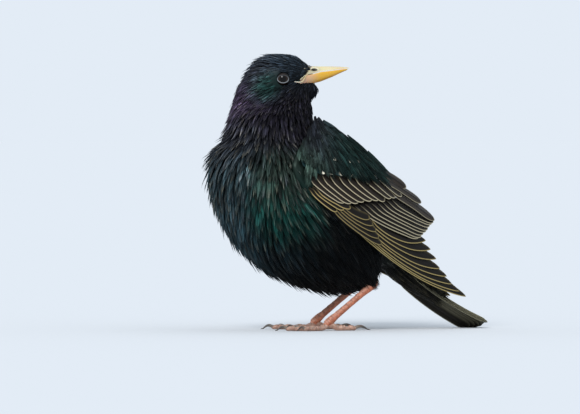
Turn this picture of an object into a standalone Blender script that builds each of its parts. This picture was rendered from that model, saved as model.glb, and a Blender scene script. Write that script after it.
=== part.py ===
"""Common starling, standing with its head turned back over its left shoulder, life size.

Shapes are worked out in millimetres and placed in Blender in metres, +Z up, floor at z = 0.
The body faces -X, its left side is -Y. The flesh is one smooth skin over a few named masses,
parted into head, neck and torso by thin plane cuts. Feathers are vanes made in loops from named
sizes, laid along the skin and fused into the node that they grow from.
"""

import math

import bmesh
import bpy
import numpy as np
from mathutils import Matrix, Vector

# Driving sizes, in millimetres unless a name says degrees
MM = 0.001
GAP = 0.3  # clearance between neighbouring nodes
SKIN_CLEARANCE = 0.45  # the same, from the skin to what lies on it
BODY_BLEND = 3.0  # how softly the masses of the body run into each other
HEAD_BLEND = 1.5  # the same among those of the head, which keeps the face slim
HEAD_TURN_DEGREES = 156.0  # from the body's heading, over the left shoulder
TAIL_LENGTH = 62.0
TARSUS_LENGTH = 33.0
EYE_RADIUS = 3.9
FLOOR = 0.0
UP = np.array([0.0, 0.0, 1.0])


def unit(vector):
    vector = np.asarray(vector, float)
    return vector / np.linalg.norm(vector)


def turned(pitch_degrees, turn_degrees):
    """Axes of a mass: its length tipped down by pitch, then turned about the vertical."""
    pitch, turn = math.radians(pitch_degrees), math.radians(turn_degrees)
    matrix = Matrix.Rotation(turn, 3, "Z") @ Matrix.Rotation(pitch, 3, "Y")
    return np.array(matrix)


# The head's own frame: forward along the bill, side towards its right cheek, then up
HEAD_PLACE = np.array([-20.5, 0.0, 132.5])
HEAD_FORWARD = np.array(
    [-math.cos(math.radians(HEAD_TURN_DEGREES)), -math.sin(math.radians(HEAD_TURN_DEGREES)), 0.0]
)
HEAD_SIDE = np.cross(HEAD_FORWARD, UP)


def head_point(forward, side, up):
    return HEAD_PLACE + forward * HEAD_FORWARD + side * HEAD_SIDE + up * UP


HEAD_TURN = math.degrees(math.atan2(HEAD_FORWARD[1], HEAD_FORWARD[0]))

# name: centre, half sizes (length, width, depth), pitch and turn in degrees
HEAD_MASSES = {
    "skull": (head_point(-3.0, 0.0, 0.8), (15.6, 9.8, 12.2), -8.0, HEAD_TURN),
    "forehead": (head_point(4.5, 0.0, 4.0), (12.6, 4.4, 8.6), 22.0, HEAD_TURN),
    "face": (head_point(7.5, 0.0, -1.0), (7.5, 2.4, 6.0), 0.0, HEAD_TURN),
    "chin": (head_point(12.0, 0.0, -6.0), (7.6, 2.4, 4.4), -12.0, HEAD_TURN),
    "throat": (head_point(5.4, 0.0, -14.5), (9.8, 7.6, 9.8), 0.0, HEAD_TURN),
    "nape": (head_point(-10.0, 0.0, -13.0), (14.8, 12.5, 18.4), 0.0, HEAD_TURN),
}
BODY_MASSES = {
    "neck": (np.array([-28.0, 0.0, 108.0]), (21.0, 19.0, 17.0), 0.0, 0.0),
    "crop": (np.array([-32.0, 0.0, 84.0]), (27.0, 27.0, 24.0), 0.0, 0.0),
    "breast": (np.array([-18.0, 0.0, 63.0]), (42.0, 29.0, 31.0), 38.0, 0.0),
    "belly": (np.array([2.0, 0.0, 50.0]), (34.0, 27.0, 26.0), 34.0, 0.0),
    "mantle": (np.array([7.0, 0.0, 84.0]), (32.0, 23.0, 19.0), 44.0, 0.0),
    "rump": (np.array([34.0, 0.0, 51.0]), (30.0, 16.0, 16.0), 36.0, 0.0),
}
MASSES = [*HEAD_MASSES.values(), *BODY_MASSES.values()]
CENTRES = np.array([mass[0] for mass in MASSES])
HALVES = np.array([mass[1] for mass in MASSES])
AXES = [turned(mass[2], mass[3]) for mass in MASSES]


def soft_minimum(rows, blend):
    low = rows.min(axis=0)
    return low - blend * np.log(np.exp(-(rows - low) / blend).sum(axis=0))


def skin_distance(points):
    """About how far each point lies outside the skin: the masses joined by a soft minimum."""
    points = np.atleast_2d(points)
    rows = []
    for centre, half, axes in zip(CENTRES, HALVES, AXES):
        local = ((points - centre) @ axes) / half
        reach = np.linalg.norm(local, axis=1)
        rows.append(reach * (reach - 1.0) / np.maximum(np.linalg.norm(local / half, axis=1), 1e-9))
    head = soft_minimum(np.array(rows[: len(HEAD_MASSES)]), HEAD_BLEND)
    return soft_minimum(np.array([head] + rows[len(HEAD_MASSES) :]), BODY_BLEND)


def skin_slope(points, step=0.2):
    points = np.atleast_2d(points)
    steps = np.eye(3) * step
    return np.stack(
        [(skin_distance(points + s) - skin_distance(points - s)) / (2 * step) for s in steps], axis=1
    )


def skin_normal(point):
    return unit(skin_slope(point)[0])


def onto_skin(points, lift=0.0, rounds=6):
    """Moves points along the slope until they lie lift outside the skin."""
    points = np.array(np.atleast_2d(points), float)
    for _ in range(rounds):
        slope = skin_slope(points)
        wrong = skin_distance(points) - lift
        points -= slope * (wrong / np.maximum((slope**2).sum(axis=1), 1e-6))[:, None]
    return points


def skin_along(start, direction, reach=95.0, samples=200):
    """The last place where a ray from inside leaves the skin."""
    along = np.linspace(0.0, reach, samples)
    points = start + along[:, None] * unit(direction)
    inside = np.where(skin_distance(points) < 0)[0]
    low, high = along[inside[-1]], along[inside[-1] + 1]
    for _ in range(12):
        middle = (low + high) / 2
        if skin_distance(start + middle * unit(direction))[0] < 0:
            low = middle
        else:
            high = middle
    return start + low * unit(direction)


# Mesh helpers


def material(name, colour, roughness, metallic=0.0):
    found = bpy.data.materials.get(name)
    if found:
        return found
    made = bpy.data.materials.new(name)
    made.use_nodes = True
    shader = made.node_tree.nodes["Principled BSDF"]
    shader.inputs["Base Color"].default_value = (*colour, 1.0)
    shader.inputs["Roughness"].default_value = roughness
    shader.inputs["Metallic"].default_value = metallic
    return made


def plumage():
    return material("plumage", (0.012, 0.022, 0.02), 0.45)


def wing_plumage():
    return material("wing_plumage", (0.03, 0.027, 0.022), 0.5)


def leg_skin():
    return material("leg_skin", (0.48, 0.2, 0.13), 0.55)


def mesh_object(name, points, faces, finish, collection=None):
    """A new object from points in millimetres."""
    mesh = bpy.data.meshes.new(name)
    mesh.from_pydata([tuple(p * MM) for p in np.asarray(points, float)], [], faces)
    mesh.update()
    obj = bpy.data.objects.new(name, mesh)
    obj.data.materials.append(finish)
    (collection or bpy.context.scene.collection).objects.link(obj)
    return obj


def lofted(rings, tip=None):
    """Points and triangles of a closed body through rings of equal count, with an optional tip.

    Quads are split by the same diagonal all along, so the two faces of a thin vane match."""
    count = len(rings[0])
    points = [p for ring in rings for p in ring]
    faces = []
    for row in range(len(rings) - 1):
        for i in range(count):
            a, b = row * count + i, row * count + (i + 1) % count
            c, d = b + count, a + count
            faces += [(a, b, c), (a, c, d)] if i < count / 2 else [(a, b, d), (b, c, d)]
    faces += [(0, i + 1, i) for i in range(1, count - 1)]
    last = (len(rings) - 1) * count
    if tip is None:
        faces += [(last, last + i, last + i + 1) for i in range(1, count - 1)]
    else:
        points.append(tip)
        faces += [(last + i, last + (i + 1) % count, len(points) - 1) for i in range(count)]
    return np.array(points), faces


def tube(path, radii, sides=8, across=None, flatten=1.0):
    """Rings round a path; flatten squeezes them along the second cross direction."""
    path = np.asarray(path, float)
    tangents = np.gradient(path, axis=0)
    side = np.array(across if across is not None else [0.0, 1.0, 0.0], float)
    rings = []
    for point, tangent, radius in zip(path, tangents, radii):
        tangent = unit(tangent)
        first = unit(side - tangent * side.dot(tangent))
        second = np.cross(tangent, first)
        turns = [2 * math.pi * i / sides for i in range(sides)]
        rings.append(
            [point + radius * (math.cos(a) * first + flatten * math.sin(a) * second) for a in turns]
        )
    return rings


def vane_rings(path, normals, halves, thick):
    """Four-sided flat rings along a feather: left edge, ridge, right edge, keel."""
    path, normals = np.asarray(path, float), np.asarray(normals, float)
    tangents = np.gradient(path, axis=0)
    rings = []
    for point, normal, tangent, half, depth in zip(path, normals, tangents, halves, thick):
        across = unit(np.cross(unit(tangent), normal))
        up = unit(np.cross(across, unit(tangent)))
        rings.append(
            [point - across * half, point - up * depth / 2, point + across * half, point + up * depth / 2]
        )
    return rings


def remesh(obj, voxel):
    modifier = obj.modifiers.new("remesh", "REMESH")
    modifier.mode = "VOXEL"
    modifier.voxel_size = voxel * MM
    apply_modifiers(obj)


def apply_modifiers(obj):
    graph = bpy.context.evaluated_depsgraph_get()
    graph.update()
    made = bpy.data.meshes.new_from_object(obj.evaluated_get(graph), depsgraph=graph)
    old = obj.data
    obj.modifiers.clear()
    obj.data = made
    bpy.data.meshes.remove(old)


def points_of(obj):
    flat = np.empty(len(obj.data.vertices) * 3)
    obj.data.vertices.foreach_get("co", flat)
    return flat.reshape(-1, 3) / MM


def set_points(obj, points):
    obj.data.vertices.foreach_set("co", (np.asarray(points) * MM).ravel())
    obj.data.update()


def skin_object(name, voxel, finish, lift=0.0):
    """The whole flesh as one closed mesh lying lift outside the skin."""
    mesh = bmesh.new()
    for centre, half, axes in zip(CENTRES, HALVES, AXES):
        grown = np.array(half) + 1.0
        place = Matrix.Translation(Vector(centre * MM)) @ Matrix(axes.tolist()).to_4x4()
        size = Matrix.Diagonal((*(grown * MM), 1.0))
        bmesh.ops.create_icosphere(mesh, subdivisions=4, radius=1.0, matrix=place @ size)
    data = bpy.data.meshes.new(name)
    mesh.to_mesh(data)
    mesh.free()
    obj = bpy.data.objects.new(name, data)
    bpy.context.scene.collection.objects.link(obj)
    remesh(obj, voxel)
    in_triangles(obj)
    set_points(obj, onto_skin(points_of(obj), lift))
    obj.data.materials.append(finish)
    return obj


def in_triangles(obj):
    """Splits each face by its own order of corners, so that lifted copies split alike."""
    mesh = bmesh.new()
    mesh.from_mesh(obj.data)
    bmesh.ops.triangulate(mesh, faces=mesh.faces, quad_method="FIXED")
    mesh.to_mesh(obj.data)
    mesh.free()


def cut_by_plane(obj, point, normal):
    """Keeps what lies behind the plane and closes the cut."""
    mesh = bmesh.new()
    mesh.from_mesh(obj.data)
    found = bmesh.ops.bisect_plane(
        mesh,
        geom=mesh.verts[:] + mesh.edges[:] + mesh.faces[:],
        plane_co=Vector(np.asarray(point) * MM),
        plane_no=Vector(normal),
        clear_outer=True,
    )
    edges = [e for e in found["geom_cut"] if isinstance(e, bmesh.types.BMEdge)]
    bmesh.ops.holes_fill(mesh, edges=edges)
    bmesh.ops.recalc_face_normals(mesh, faces=mesh.faces)
    mesh.to_mesh(obj.data)
    mesh.free()


def boolean(obj, operation, others):
    """Joins or cuts obj by a list of objects in one step, then removes them."""
    holder = bpy.data.collections.new("pieces")
    bpy.context.scene.collection.children.link(holder)
    for other in others:
        for old in list(other.users_collection):
            old.objects.unlink(other)
        holder.objects.link(other)
    modifier = obj.modifiers.new("boolean", "BOOLEAN")
    modifier.operation = operation
    modifier.operand_type = "COLLECTION"
    modifier.collection = holder
    modifier.solver = "MANIFOLD"  # EXACT takes minutes on this many vanes
    apply_modifiers(obj)
    for other in others:
        bpy.data.objects.remove(other)
    bpy.data.collections.remove(holder)
    keep_largest(obj)


def keep_largest(obj):
    """Leaves only the largest closed surface of the object."""
    mesh = bmesh.new()
    mesh.from_mesh(obj.data)
    mesh.faces.ensure_lookup_table()
    seen, groups = set(), []
    for face in mesh.faces:
        if face.index in seen:
            continue
        group, todo = [], [face]
        seen.add(face.index)
        while todo:
            current = todo.pop()
            group.append(current)
            for edge in current.edges:
                for near in edge.link_faces:
                    if near.index not in seen:
                        seen.add(near.index)
                        todo.append(near)
        groups.append(group)
    groups.sort(key=lambda g: -sum(f.calc_area() for f in g))
    loose = [f for group in groups[1:] for f in group]
    bmesh.ops.delete(mesh, geom=loose, context="FACES")
    mesh.to_mesh(obj.data)
    mesh.free()


def finish_object(obj, smooth_degrees=40.0):
    obj.data.shade_smooth()
    obj.data.set_sharp_from_angle(angle=math.radians(smooth_degrees))
    return obj


# Head, neck and torso

NECK_TOP = np.array([-20.0, 0.0, 117.0])
NECK_TOP_NORMAL = unit([0.0, 0.0, 1.0])
NECK_BASE = np.array([-24.0, 0.0, 103.0])
NECK_BASE_NORMAL = unit([-0.16, 0.0, 1.0])
BODY_VOXEL = 7.9
NECK_VOXEL = 6.0
HEAD_VOXEL = 4.3
EYE_FORWARD = 0.2
EYE_UP = 0.5
EYE_DEPTH = 2.5  # from the skin of the cheek in to the middle of the eye
LID_REACH = 3.25
LID_THICK = 0.55
LID_SIDES = 12
EYE_SIDES = 12
EYE_ROWS = 7


def make_torso():
    torso = skin_object("torso", BODY_VOXEL, plumage())
    cut_by_plane(torso, NECK_BASE - NECK_BASE_NORMAL * GAP / 2, NECK_BASE_NORMAL)
    boolean(torso, "UNION", [lock_object(*lock) for lock in torso_locks()])
    return torso


def make_neck():
    """The neck with its ruff, whose tips hang clear of the torso below them."""
    neck = skin_object("neck", NECK_VOXEL, plumage())
    cut_by_plane(neck, NECK_TOP - NECK_TOP_NORMAL * GAP / 2, NECK_TOP_NORMAL)
    cut_by_plane(neck, NECK_BASE + NECK_BASE_NORMAL * GAP / 2, -NECK_BASE_NORMAL)
    boolean(neck, "UNION", [lock_object(*lock) for lock in neck_locks()])
    below = skin_object("skin_cut", BODY_VOXEL, plumage(), SKIN_CLEARANCE)
    cut_by_plane(below, NECK_BASE + NECK_BASE_NORMAL * GAP / 2, NECK_BASE_NORMAL)
    boolean(neck, "DIFFERENCE", [below])
    return neck


def facing_out(obj):
    mesh = bmesh.new()
    mesh.from_mesh(obj.data)
    bmesh.ops.recalc_face_normals(mesh, faces=mesh.faces)
    mesh.to_mesh(obj.data)
    mesh.free()
    return obj


def cheek_point(forward, up, cheek):
    """Where the skin of one cheek is: cheek is 1 on the bird's right and -1 on its left."""
    return skin_along(head_point(forward, 0.0, up), cheek * HEAD_SIDE, reach=30.0)


def eye_place(cheek):
    return cheek_point(EYE_FORWARD, EYE_UP, cheek) - cheek * HEAD_SIDE * EYE_DEPTH


def eye_ball(name, cheek, radius):
    """A ball with its poles towards the cheek."""
    centre = eye_place(cheek)
    sides, rows = EYE_SIDES, EYE_ROWS
    rings = []
    for row in range(1, rows):
        polar = math.pi * row / rows
        out, reach = math.cos(polar) * radius, math.sin(polar) * radius
        turns = [2 * math.pi * i / sides for i in range(sides)]
        rings.append(
            [centre + HEAD_FORWARD * reach * math.cos(a) + HEAD_SIDE * out + UP * reach * math.sin(a)
             for a in turns]
        )
    poles = [centre + HEAD_SIDE * radius, centre - HEAD_SIDE * radius]
    points = [p for ring in rings for p in ring] + poles
    faces = []
    for row in range(rows - 2):
        for i in range(sides):
            a, b = row * sides + i, row * sides + (i + 1) % sides
            faces.append((a, b, b + sides, a + sides))
    first, last = len(points) - 2, len(points) - 1
    start = (rows - 2) * sides
    faces += [(first, (i + 1) % sides, i) for i in range(sides)]
    faces += [(start + i, start + (i + 1) % sides, last) for i in range(sides)]
    return facing_out(mesh_object(name, points, faces, material("eye", (0.02, 0.012, 0.008), 0.1)))


def lid_ring(cheek):
    """The rim of the lids: a thin ring lying on the cheek round the eye."""
    section = 4
    points, faces = [], []
    for i in range(LID_SIDES):
        turn = 2 * math.pi * i / LID_SIDES
        away = HEAD_FORWARD * math.cos(turn) + UP * math.sin(turn)
        middle = cheek_point(
            EYE_FORWARD + LID_REACH * math.cos(turn), EYE_UP + LID_REACH * math.sin(turn), cheek
        )
        for j in range(section):
            angle = 2 * math.pi * j / section
            points.append(
                middle
                + away * LID_THICK * math.cos(angle)
                + cheek * HEAD_SIDE * LID_THICK * 1.3 * math.sin(angle)
            )
        for j in range(section):
            a, b = i * section + j, i * section + (j + 1) % section
            c, d = (b + section) % (LID_SIDES * section), (a + section) % (LID_SIDES * section)
            faces.append((a, b, c, d))
    return facing_out(mesh_object("lid", points, faces, plumage()))


# The bill, in the head's frame: forward, mouth line, culmen, keel and half width
BILL_STATIONS = [
    (5.5, -2.4, 6.6, -5.4, 3.8),
    (9.0, -0.8, 7.5, -4.2, 5.6),
    (12.5, 2.4, 7.35, -3.1, 4.8),
    (16.5, 3.4, 7.25, -1.8, 3.8),
    (20.0, 4.3, 7.2, -0.9, 3.1),
    (26.0, 5.0, 7.2, 1.5, 2.1),
    (31.0, 5.7, 7.0, 3.9, 1.2),
    (33.8, 6.0, 6.7, 5.1, 0.6),
]
BILL_TIP = 35.4
BILL_TIP_UP = 6.2
LOWER_TIP_SHORT = 0.9  # the lower mandible stops this far behind the upper
BILL_SIDES = 9
MOUTH_GROOVE = 0.5
MOUTH_REACH = (6.8, 12.0)  # how far forward the corner of the mouth and its end are
NOSTRIL = (16.4, 5.1, 1.4, 0.5)  # forward, up, half length, half height
NOSTRIL_SIDES = 8


def bill_half(name, upper, grow=0.0):
    """One mandible: an arch over the mouth line, grown all round for use as a cutter."""
    rings = []
    for forward, mouth, culmen, keel, half in BILL_STATIONS:
        away = 1.0 if upper else -1.0
        edge = mouth + away * (GAP / 2 - grow)
        far = (culmen if upper else keel) + away * grow
        ring = []
        for i in range(BILL_SIDES):
            angle = math.pi * i / (BILL_SIDES - 1)
            out = math.copysign(abs(math.cos(angle)) ** 0.8, math.cos(angle)) * (half + grow)
            ring.append(head_point(forward, out, edge + (far - edge) * math.sin(angle) ** 0.85))
        rings.append(ring)
    short = 0.0 if upper else LOWER_TIP_SHORT
    tip = head_point(BILL_TIP - short + grow, 0.0, BILL_TIP_UP + (0.0 if upper else -GAP * 1.6))
    points, faces = lofted(rings, tip)
    return facing_out(mesh_object(name, points, faces, material("bill", (0.85, 0.6, 0.16), 0.3)))


def nostril_cutter(cheek):
    """A slit low on the side of the upper mandible, near its base."""
    forward, up, length, height = NOSTRIL
    rings = []
    for out in (2.2, 5.4):
        ring = []
        for i in range(NOSTRIL_SIDES):
            turn = 2 * math.pi * i / NOSTRIL_SIDES
            out_along, out_up = length * math.cos(turn), height * math.sin(turn)
            ring.append(head_point(forward + out_along, cheek * out, up + out_up))
        rings.append(ring)
    points, faces = lofted(rings)
    return facing_out(mesh_object("nostril", points, faces, plumage()))


def make_bill():
    upper = bill_half("bill_upper", True)
    boolean(upper, "DIFFERENCE", [nostril_cutter(cheek) for cheek in (-1.0, 1.0)])
    bill_half("bill_lower", False)


def mouth_cutter(cheek):
    """The line of the mouth on the cheek, from its corner to where the bill comes out."""
    stations = np.linspace(*MOUTH_REACH, 6)
    mouths = np.interp(stations, [s[0] for s in BILL_STATIONS], [s[1] for s in BILL_STATIONS])
    path = [cheek_point(forward, mouth, cheek) for forward, mouth in zip(stations, mouths)]
    points, faces = lofted(tube(path, [MOUTH_GROOVE] * 6, sides=5, across=UP))
    return facing_out(mesh_object("mouth", points, faces, plumage()))


def make_head():
    head = skin_object("head", HEAD_VOXEL, plumage())
    cut_by_plane(head, NECK_TOP + NECK_TOP_NORMAL * GAP / 2, -NECK_TOP_NORMAL)
    cheeks = (-1.0, 1.0)
    boolean(head, "UNION", [lid_ring(cheek) for cheek in cheeks] + [lock_object(*k) for k in head_locks()])
    cutters = [eye_ball("socket", cheek, EYE_RADIUS + GAP) for cheek in cheeks]
    cutters += [mouth_cutter(cheek) for cheek in cheeks]
    cutters += [bill_half("bill_cut", upper, GAP) for upper in (True, False)]
    boolean(head, "DIFFERENCE", cutters)
    return head


# Loose pointed feathers: one rule for where they lie, used on head, neck and torso

LIE_HEAD = unit(-0.75 * HEAD_FORWARD - 0.66 * UP)
LIE_BACKWARD = 0.75  # how far the feathers of the belly lean back against hanging straight down
LIE_OF_BACK = 1.9
LOCK_STATIONS = 4
LOCK_TAPER = (0.7, 1.0, 0.9, 0.55)  # shares of the half width from root towards tip
LOCK_SINK = 1.7


def lie_at(point):
    """The way the feathers point: back from the bill on the head, down and then back on the body."""
    share = np.clip((point[2] - 112.0) / 14.0, 0.0, 1.0)
    belly = LIE_BACKWARD * np.clip((92.0 - point[2]) / 50.0, 0.0, 1.0)
    back = np.clip((point[0] + 14.0) / 18.0, 0.0, 1.0) * np.clip((point[2] - 50.0) / 25.0, 0.0, 1.0)
    back = LIE_OF_BACK * back
    return unit(LIE_HEAD * share + unit([max(belly, back), 0.0, -1.0]) * (1 - share))


def lock_path(root, length, flare, hang):
    """Steps along the lie from a root on the skin, lifting by flare and falling by hang."""
    normal = skin_normal(root)
    place = root - normal * LOCK_SINK
    path, normals = [place], [normal]
    for i in range(LOCK_STATIONS):
        normal = skin_normal(place)
        lie = lie_at(place)
        along = lie - normal * lie.dot(normal)
        along = unit(along) * (1 - hang) - UP * hang
        lift = 0.45 if i == 0 else flare
        place = place + unit(along + normal * lift) * length / LOCK_STATIONS
        path.append(place)
        normals.append(normal)
    return path, normals


def lock_object(path, normals, half, thick):
    """A flat tapered lock with a low ridge, closed to a point."""
    rings = []
    ways = np.gradient(np.array(path), axis=0)
    for place, way, normal, share in zip(path, ways, normals, LOCK_TAPER):
        across = unit(np.cross(way, normal)) * half * share
        over = unit(np.cross(across, way)) * thick * (0.4 + 0.6 * share)
        rings.append([place - across, place + over, place + across])
    points, faces = lofted(rings, path[-1])
    return facing_out(mesh_object("lock", points, faces, plumage()))


# height in the head's frame, how many from cheek to nape to cheek, length
HEAD_ROWS = ((-5.0, 6, 9.5), (2.0, 5, 9.0), (8.0, 5, 8.0))
# height above the floor, how many round the neck, length
RUFF_ROWS = ((114.5, 12, 12.0), (107.5, 15, 14.0))
RUFF_AXIS = (-24.0, 0.0)
RUFF_FLARE = 0.6
RUFF_ROOM = 4.0  # how far the locks of the torso keep from those of the ruff
NECK_ROOM = 2.2  # how far below the cut of the neck they stay
BREAST_CENTRE = np.array([-14.0, 0.0, 66.0])
BREAST_ROWS = (
    # degrees above level, how many across, widest angle either side, length, flare, hang
    (36, 9, 96, 14.0, 0.38, 0.0),
    (22, 10, 90, 16.0, 0.36, 0.0),
    (8, 10, 84, 17.0, 0.32, 0.0),
    (-6, 10, 82, 18.0, 0.28, 0.05),
    (-20, 10, 84, 19.0, 0.20, 0.12),
    (-34, 9, 90, 20.0, 0.12, 0.25),
    (-49, 8, 104, 19.0, 0.05, 0.4),
    (-65, 6, 126, 16.0, 0.0, 0.5),
)
BACK_ROWS = (
    # along the back, height of the ray's start, how many across, widest angle, length, flare
    (-4.0, 90.0, 6, 44, 22.0, 0.24),
    (6.0, 82.0, 6, 44, 21.0, 0.16),
    (16.0, 72.0, 5, 36, 19.0, 0.10),
    (26.0, 60.0, 3, 24, 16.0, 0.06),
)
# the long loose feathers of the mantle: along the back, to the side, length
MANTLE_LOCKS = ((3.0, -6.0, 30.0), (4.0, -1.0, 34.0), (3.0, 5.0, 30.0))
MANTLE_FLARE = 0.16


def varied(length, row, i):
    """Lengths that differ a little from lock to lock, always in the same way."""
    return length * (1.0 + 0.13 * math.sin(3.7 * i + 1.9 * row))


def head_locks():
    """Hackles over the nape and the rear of the cheeks."""
    locks = []
    for row, (up, count, length) in enumerate(HEAD_ROWS):
        for i in range(count):
            around = math.radians(112 + 136 * (i + 0.25 + 0.5 * (row % 2)) / count)
            out = HEAD_FORWARD * math.cos(around) + HEAD_SIDE * math.sin(around)
            root = skin_along(head_point(-6.0, 0.0, up), out)
            path, normals = lock_path(root, length, 0.25, 0.0)
            if min(p[2] for p in path) > NECK_TOP[2] + 1.0:
                locks.append((path, normals, 2.0, 0.9))
    return locks


def neck_locks():
    locks = []
    for row, (height, count, length) in enumerate(RUFF_ROWS):
        for i in range(count):
            around = 2 * math.pi * (i + 0.5 * (row % 2)) / count
            start = np.array([*RUFF_AXIS, height])
            root = skin_along(start, [math.cos(around), math.sin(around), 0.0])
            path, normals = lock_path(root, varied(length, row, i), RUFF_FLARE, 0.0)
            if max(p[2] for p in path) < NECK_TOP[2] - 1.0 and not any(near_wing(p) for p in path):
                locks.append((path, normals, 3.2, 1.2))
    return locks


def torso_locks():
    locks = []
    ruff = np.array([point for path, *rest in neck_locks() for point in path])
    for row, (above, count, widest, length, flare, hang) in enumerate(BREAST_ROWS):
        level, rise = math.cos(math.radians(above)), math.sin(math.radians(above))
        for i in range(count):
            around = math.radians(180 + widest * ((2 * i + row % 2) / (count - 0.5) - 1))
            root = skin_along(BREAST_CENTRE, [level * math.cos(around), level * math.sin(around), rise])
            path, normals = lock_path(root, varied(length, row, i), flare, hang)
            if clear_of_others(path, ruff):
                locks.append((path, normals, 3.5, 1.1))
    for row, (along, height, count, widest, length, flare) in enumerate(BACK_ROWS):
        for i in range(count):
            side = math.radians(widest * ((2 * i + row % 2) / (count - 0.5) - 1))
            way = [0.55 * math.cos(side), math.sin(side), 0.83 * math.cos(side)]
            root = skin_along(np.array([along, 0.0, height]), way)
            path, normals = lock_path(root, varied(length, row, i), flare, 0.0)
            if clear_of_others(path, ruff):
                locks.append((path, normals, 3.5, 1.1))
    for along, side, length in MANTLE_LOCKS:
        root = skin_along(np.array([along, side, 80.0]), UP)
        path, normals = lock_path(root, length, MANTLE_FLARE, 0.0)
        if clear_of_others(path, ruff):
            locks.append((path, normals, 3.5, 1.1))
    return locks


def near_wing(point):
    """True where a point lies in the room of a folded wing or just beside it."""
    along, across = wing_place(point)
    if along < WING_FRONT - 4.5 or across < WING_LOW - 4.0 or across > WING_TOP + 2.5:
        return False
    return abs(point[1]) > (20.0 if across > WING_TOP - 5.0 else 12.0)


def clear_of_others(path, ruff):
    """True where a lock keeps off the folded wings, the legs, the tail and the neck's ruff."""
    for point in path[1:]:
        if near_wing(point):
            return False
        for leg in LEGS.values():
            if np.linalg.norm(point[:2] - leg["ankle"][:2]) < 11 and point[2] < 42:
                return False
        if point[0] > TAIL_ROOT[0] - 4 and point[2] < TAIL_ROOT[2] + 14:
            return False
        if np.linalg.norm(ruff - point, axis=1).min() < RUFF_ROOM:
            return False
        if (point - NECK_BASE).dot(NECK_BASE_NORMAL) > -NECK_ROOM:
            return False
    return True


# Wings, laid out on a sheet: along from the wrist to the wing tip, across towards the back

WRIST = np.array([-22.6, 0.0, 87.5])
WING_ALONG = unit([0.824, 0.0, -0.568])
WING_ACROSS = np.array([-WING_ALONG[2], 0.0, WING_ALONG[0]])
WING_FRONT = -2.0
WING_LOW = -14.0
WING_TOP = 24.0
# how far out the sheet bulges along the wing, and what share of it across the wing
WING_BULGE = ((-4, 23), (20, 28), (45, 29), (70, 25), (95, 17), (126, 9))
WING_CURL = ((-16, 0.93), (-6, 1.0), (6, 1.0), (14, 0.9), (20, 0.74), (26, 0.5))
WING_OVER_SKIN = 2.4
WING_BASE_OUTLINE = (
    # along, lowest, highest, thickness, how far it rises over the sheet
    (-4, -2, 8, 4.0, 0.3),
    (2, -8, 15, 6.0, 1.8),
    (12, -10, 20, 6.0, 2.3),
    (24, -11, 22, 6.0, 1.6),
    (38, -12, 21, 6.0, 0.4),
    (54, -11, 19, 5.0, -0.3),
    (68, -9, 15, 2.5, -0.6),
)
# name: how many, first root, last root, first tip, last tip, half widths, lifts (along, across)
WING_TIERS = {
    "primary": (6, (40, -9), (54, 6), (124, 0), (99, 9), (3.4, 3.8), (0.5, 1.0)),
    "secondary": (4, (24, -8), (42, 10), (92, 3), (84, 14), (4.4, 4.6), (1.5, 2.0)),
    "tertial": (3, (38, 12), (32, 19), (85, 18), (60, 22), (4.6, 4.6), (2.9, 3.5)),
    "primary_covert": (2, (16, -10), (20, -6), (62, -11), (57, -6), (3.2, 3.4), (2.0, 2.6)),
    "alula": (1, (6, -8), (6, -8), (34, -13), (34, -13), (2.8, 2.8), (3.0, 3.0)),
    "greater_covert": (6, (10, -5), (44, 21), (33, -9), (58, 14), (4.6, 4.8), (3.0, 3.8)),
    "median_covert": (3, (0, 0), (30, 22), (17, -3), (44, 20), (4.8, 5.0), (3.4, 4.4)),
}
VANE_SHARES = (0.0, 0.22, 0.55, 0.88)
VANE_WIDTHS = (0.5, 0.9, 1.0, 0.7)
VANE_THICK = 0.55
VANE_TILT_DEGREES = 12.0  # each vane's lower edge lies over the next
ROOT_SINK = 1.1  # how deep in the wing's base a vane starts


def wing_place(point):
    offset = np.asarray(point) - WRIST
    return offset.dot(WING_ALONG), offset.dot(WING_ACROSS)


def flank(point):
    """Half width of the flesh straight beside a point of the body's middle plane."""
    outs = np.linspace(0.0, 44.0, 89)
    points = np.array([point[0], 0.0, point[2]]) + outs[:, None] * np.array([0.0, -1.0, 0.0])
    inside = np.where(skin_distance(points) < 0)[0]
    return outs[inside[-1]] if len(inside) else 0.0


def wing_sheet(along, across, hand):
    """A point of the wing's base surface; hand is -1 for the left wing and 1 for the right."""
    point = WRIST + along * WING_ALONG + across * WING_ACROSS
    bulge = np.interp(along, *zip(*WING_BULGE)) * np.interp(across, *zip(*WING_CURL))
    over = flank(point) + WING_OVER_SKIN
    out = 2.0 * math.log(math.exp(bulge / 2.0) + math.exp(over / 2.0)) if over > 4 else bulge
    return point + np.array([0.0, hand * out, 0.0])


def wing_normal(along, across, hand, step=2.0):
    one = wing_sheet(along + step, across, hand) - wing_sheet(along - step, across, hand)
    two = wing_sheet(along, across + step, hand) - wing_sheet(along, across - step, hand)
    normal = unit(np.cross(one, two))
    return normal if normal[1] * hand > 0 else -normal


def base_rise(along):
    return np.interp(along, [row[0] for row in WING_BASE_OUTLINE], [row[4] for row in WING_BASE_OUTLINE])


def wing_vane(root, tip, half, lift, hand):
    path, normals = [], []
    tilt = math.radians(VANE_TILT_DEGREES)
    for share in VANE_SHARES + (1.0,):
        along = root[0] + (tip[0] - root[0]) * share
        across = root[1] + (tip[1] - root[1]) * share
        normal = wing_normal(along, across, hand)
        height = lift if share > 0.0 else base_rise(along) - ROOT_SINK
        path.append(wing_sheet(along, across, hand) + normal * height)
        normals.append(normal * math.cos(tilt) + WING_ACROSS * math.sin(tilt))
    halves = [half * w for w in VANE_WIDTHS] + [0.0]
    rings = vane_rings(path, normals, halves, [VANE_THICK] * 5)
    points, faces = lofted(rings[:-1], path[-1])
    return facing_out(mesh_object("vane", points, faces, wing_plumage()))


def blend(first, last, share):
    return tuple(a + (b - a) * share for a, b in zip(first, last))


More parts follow.
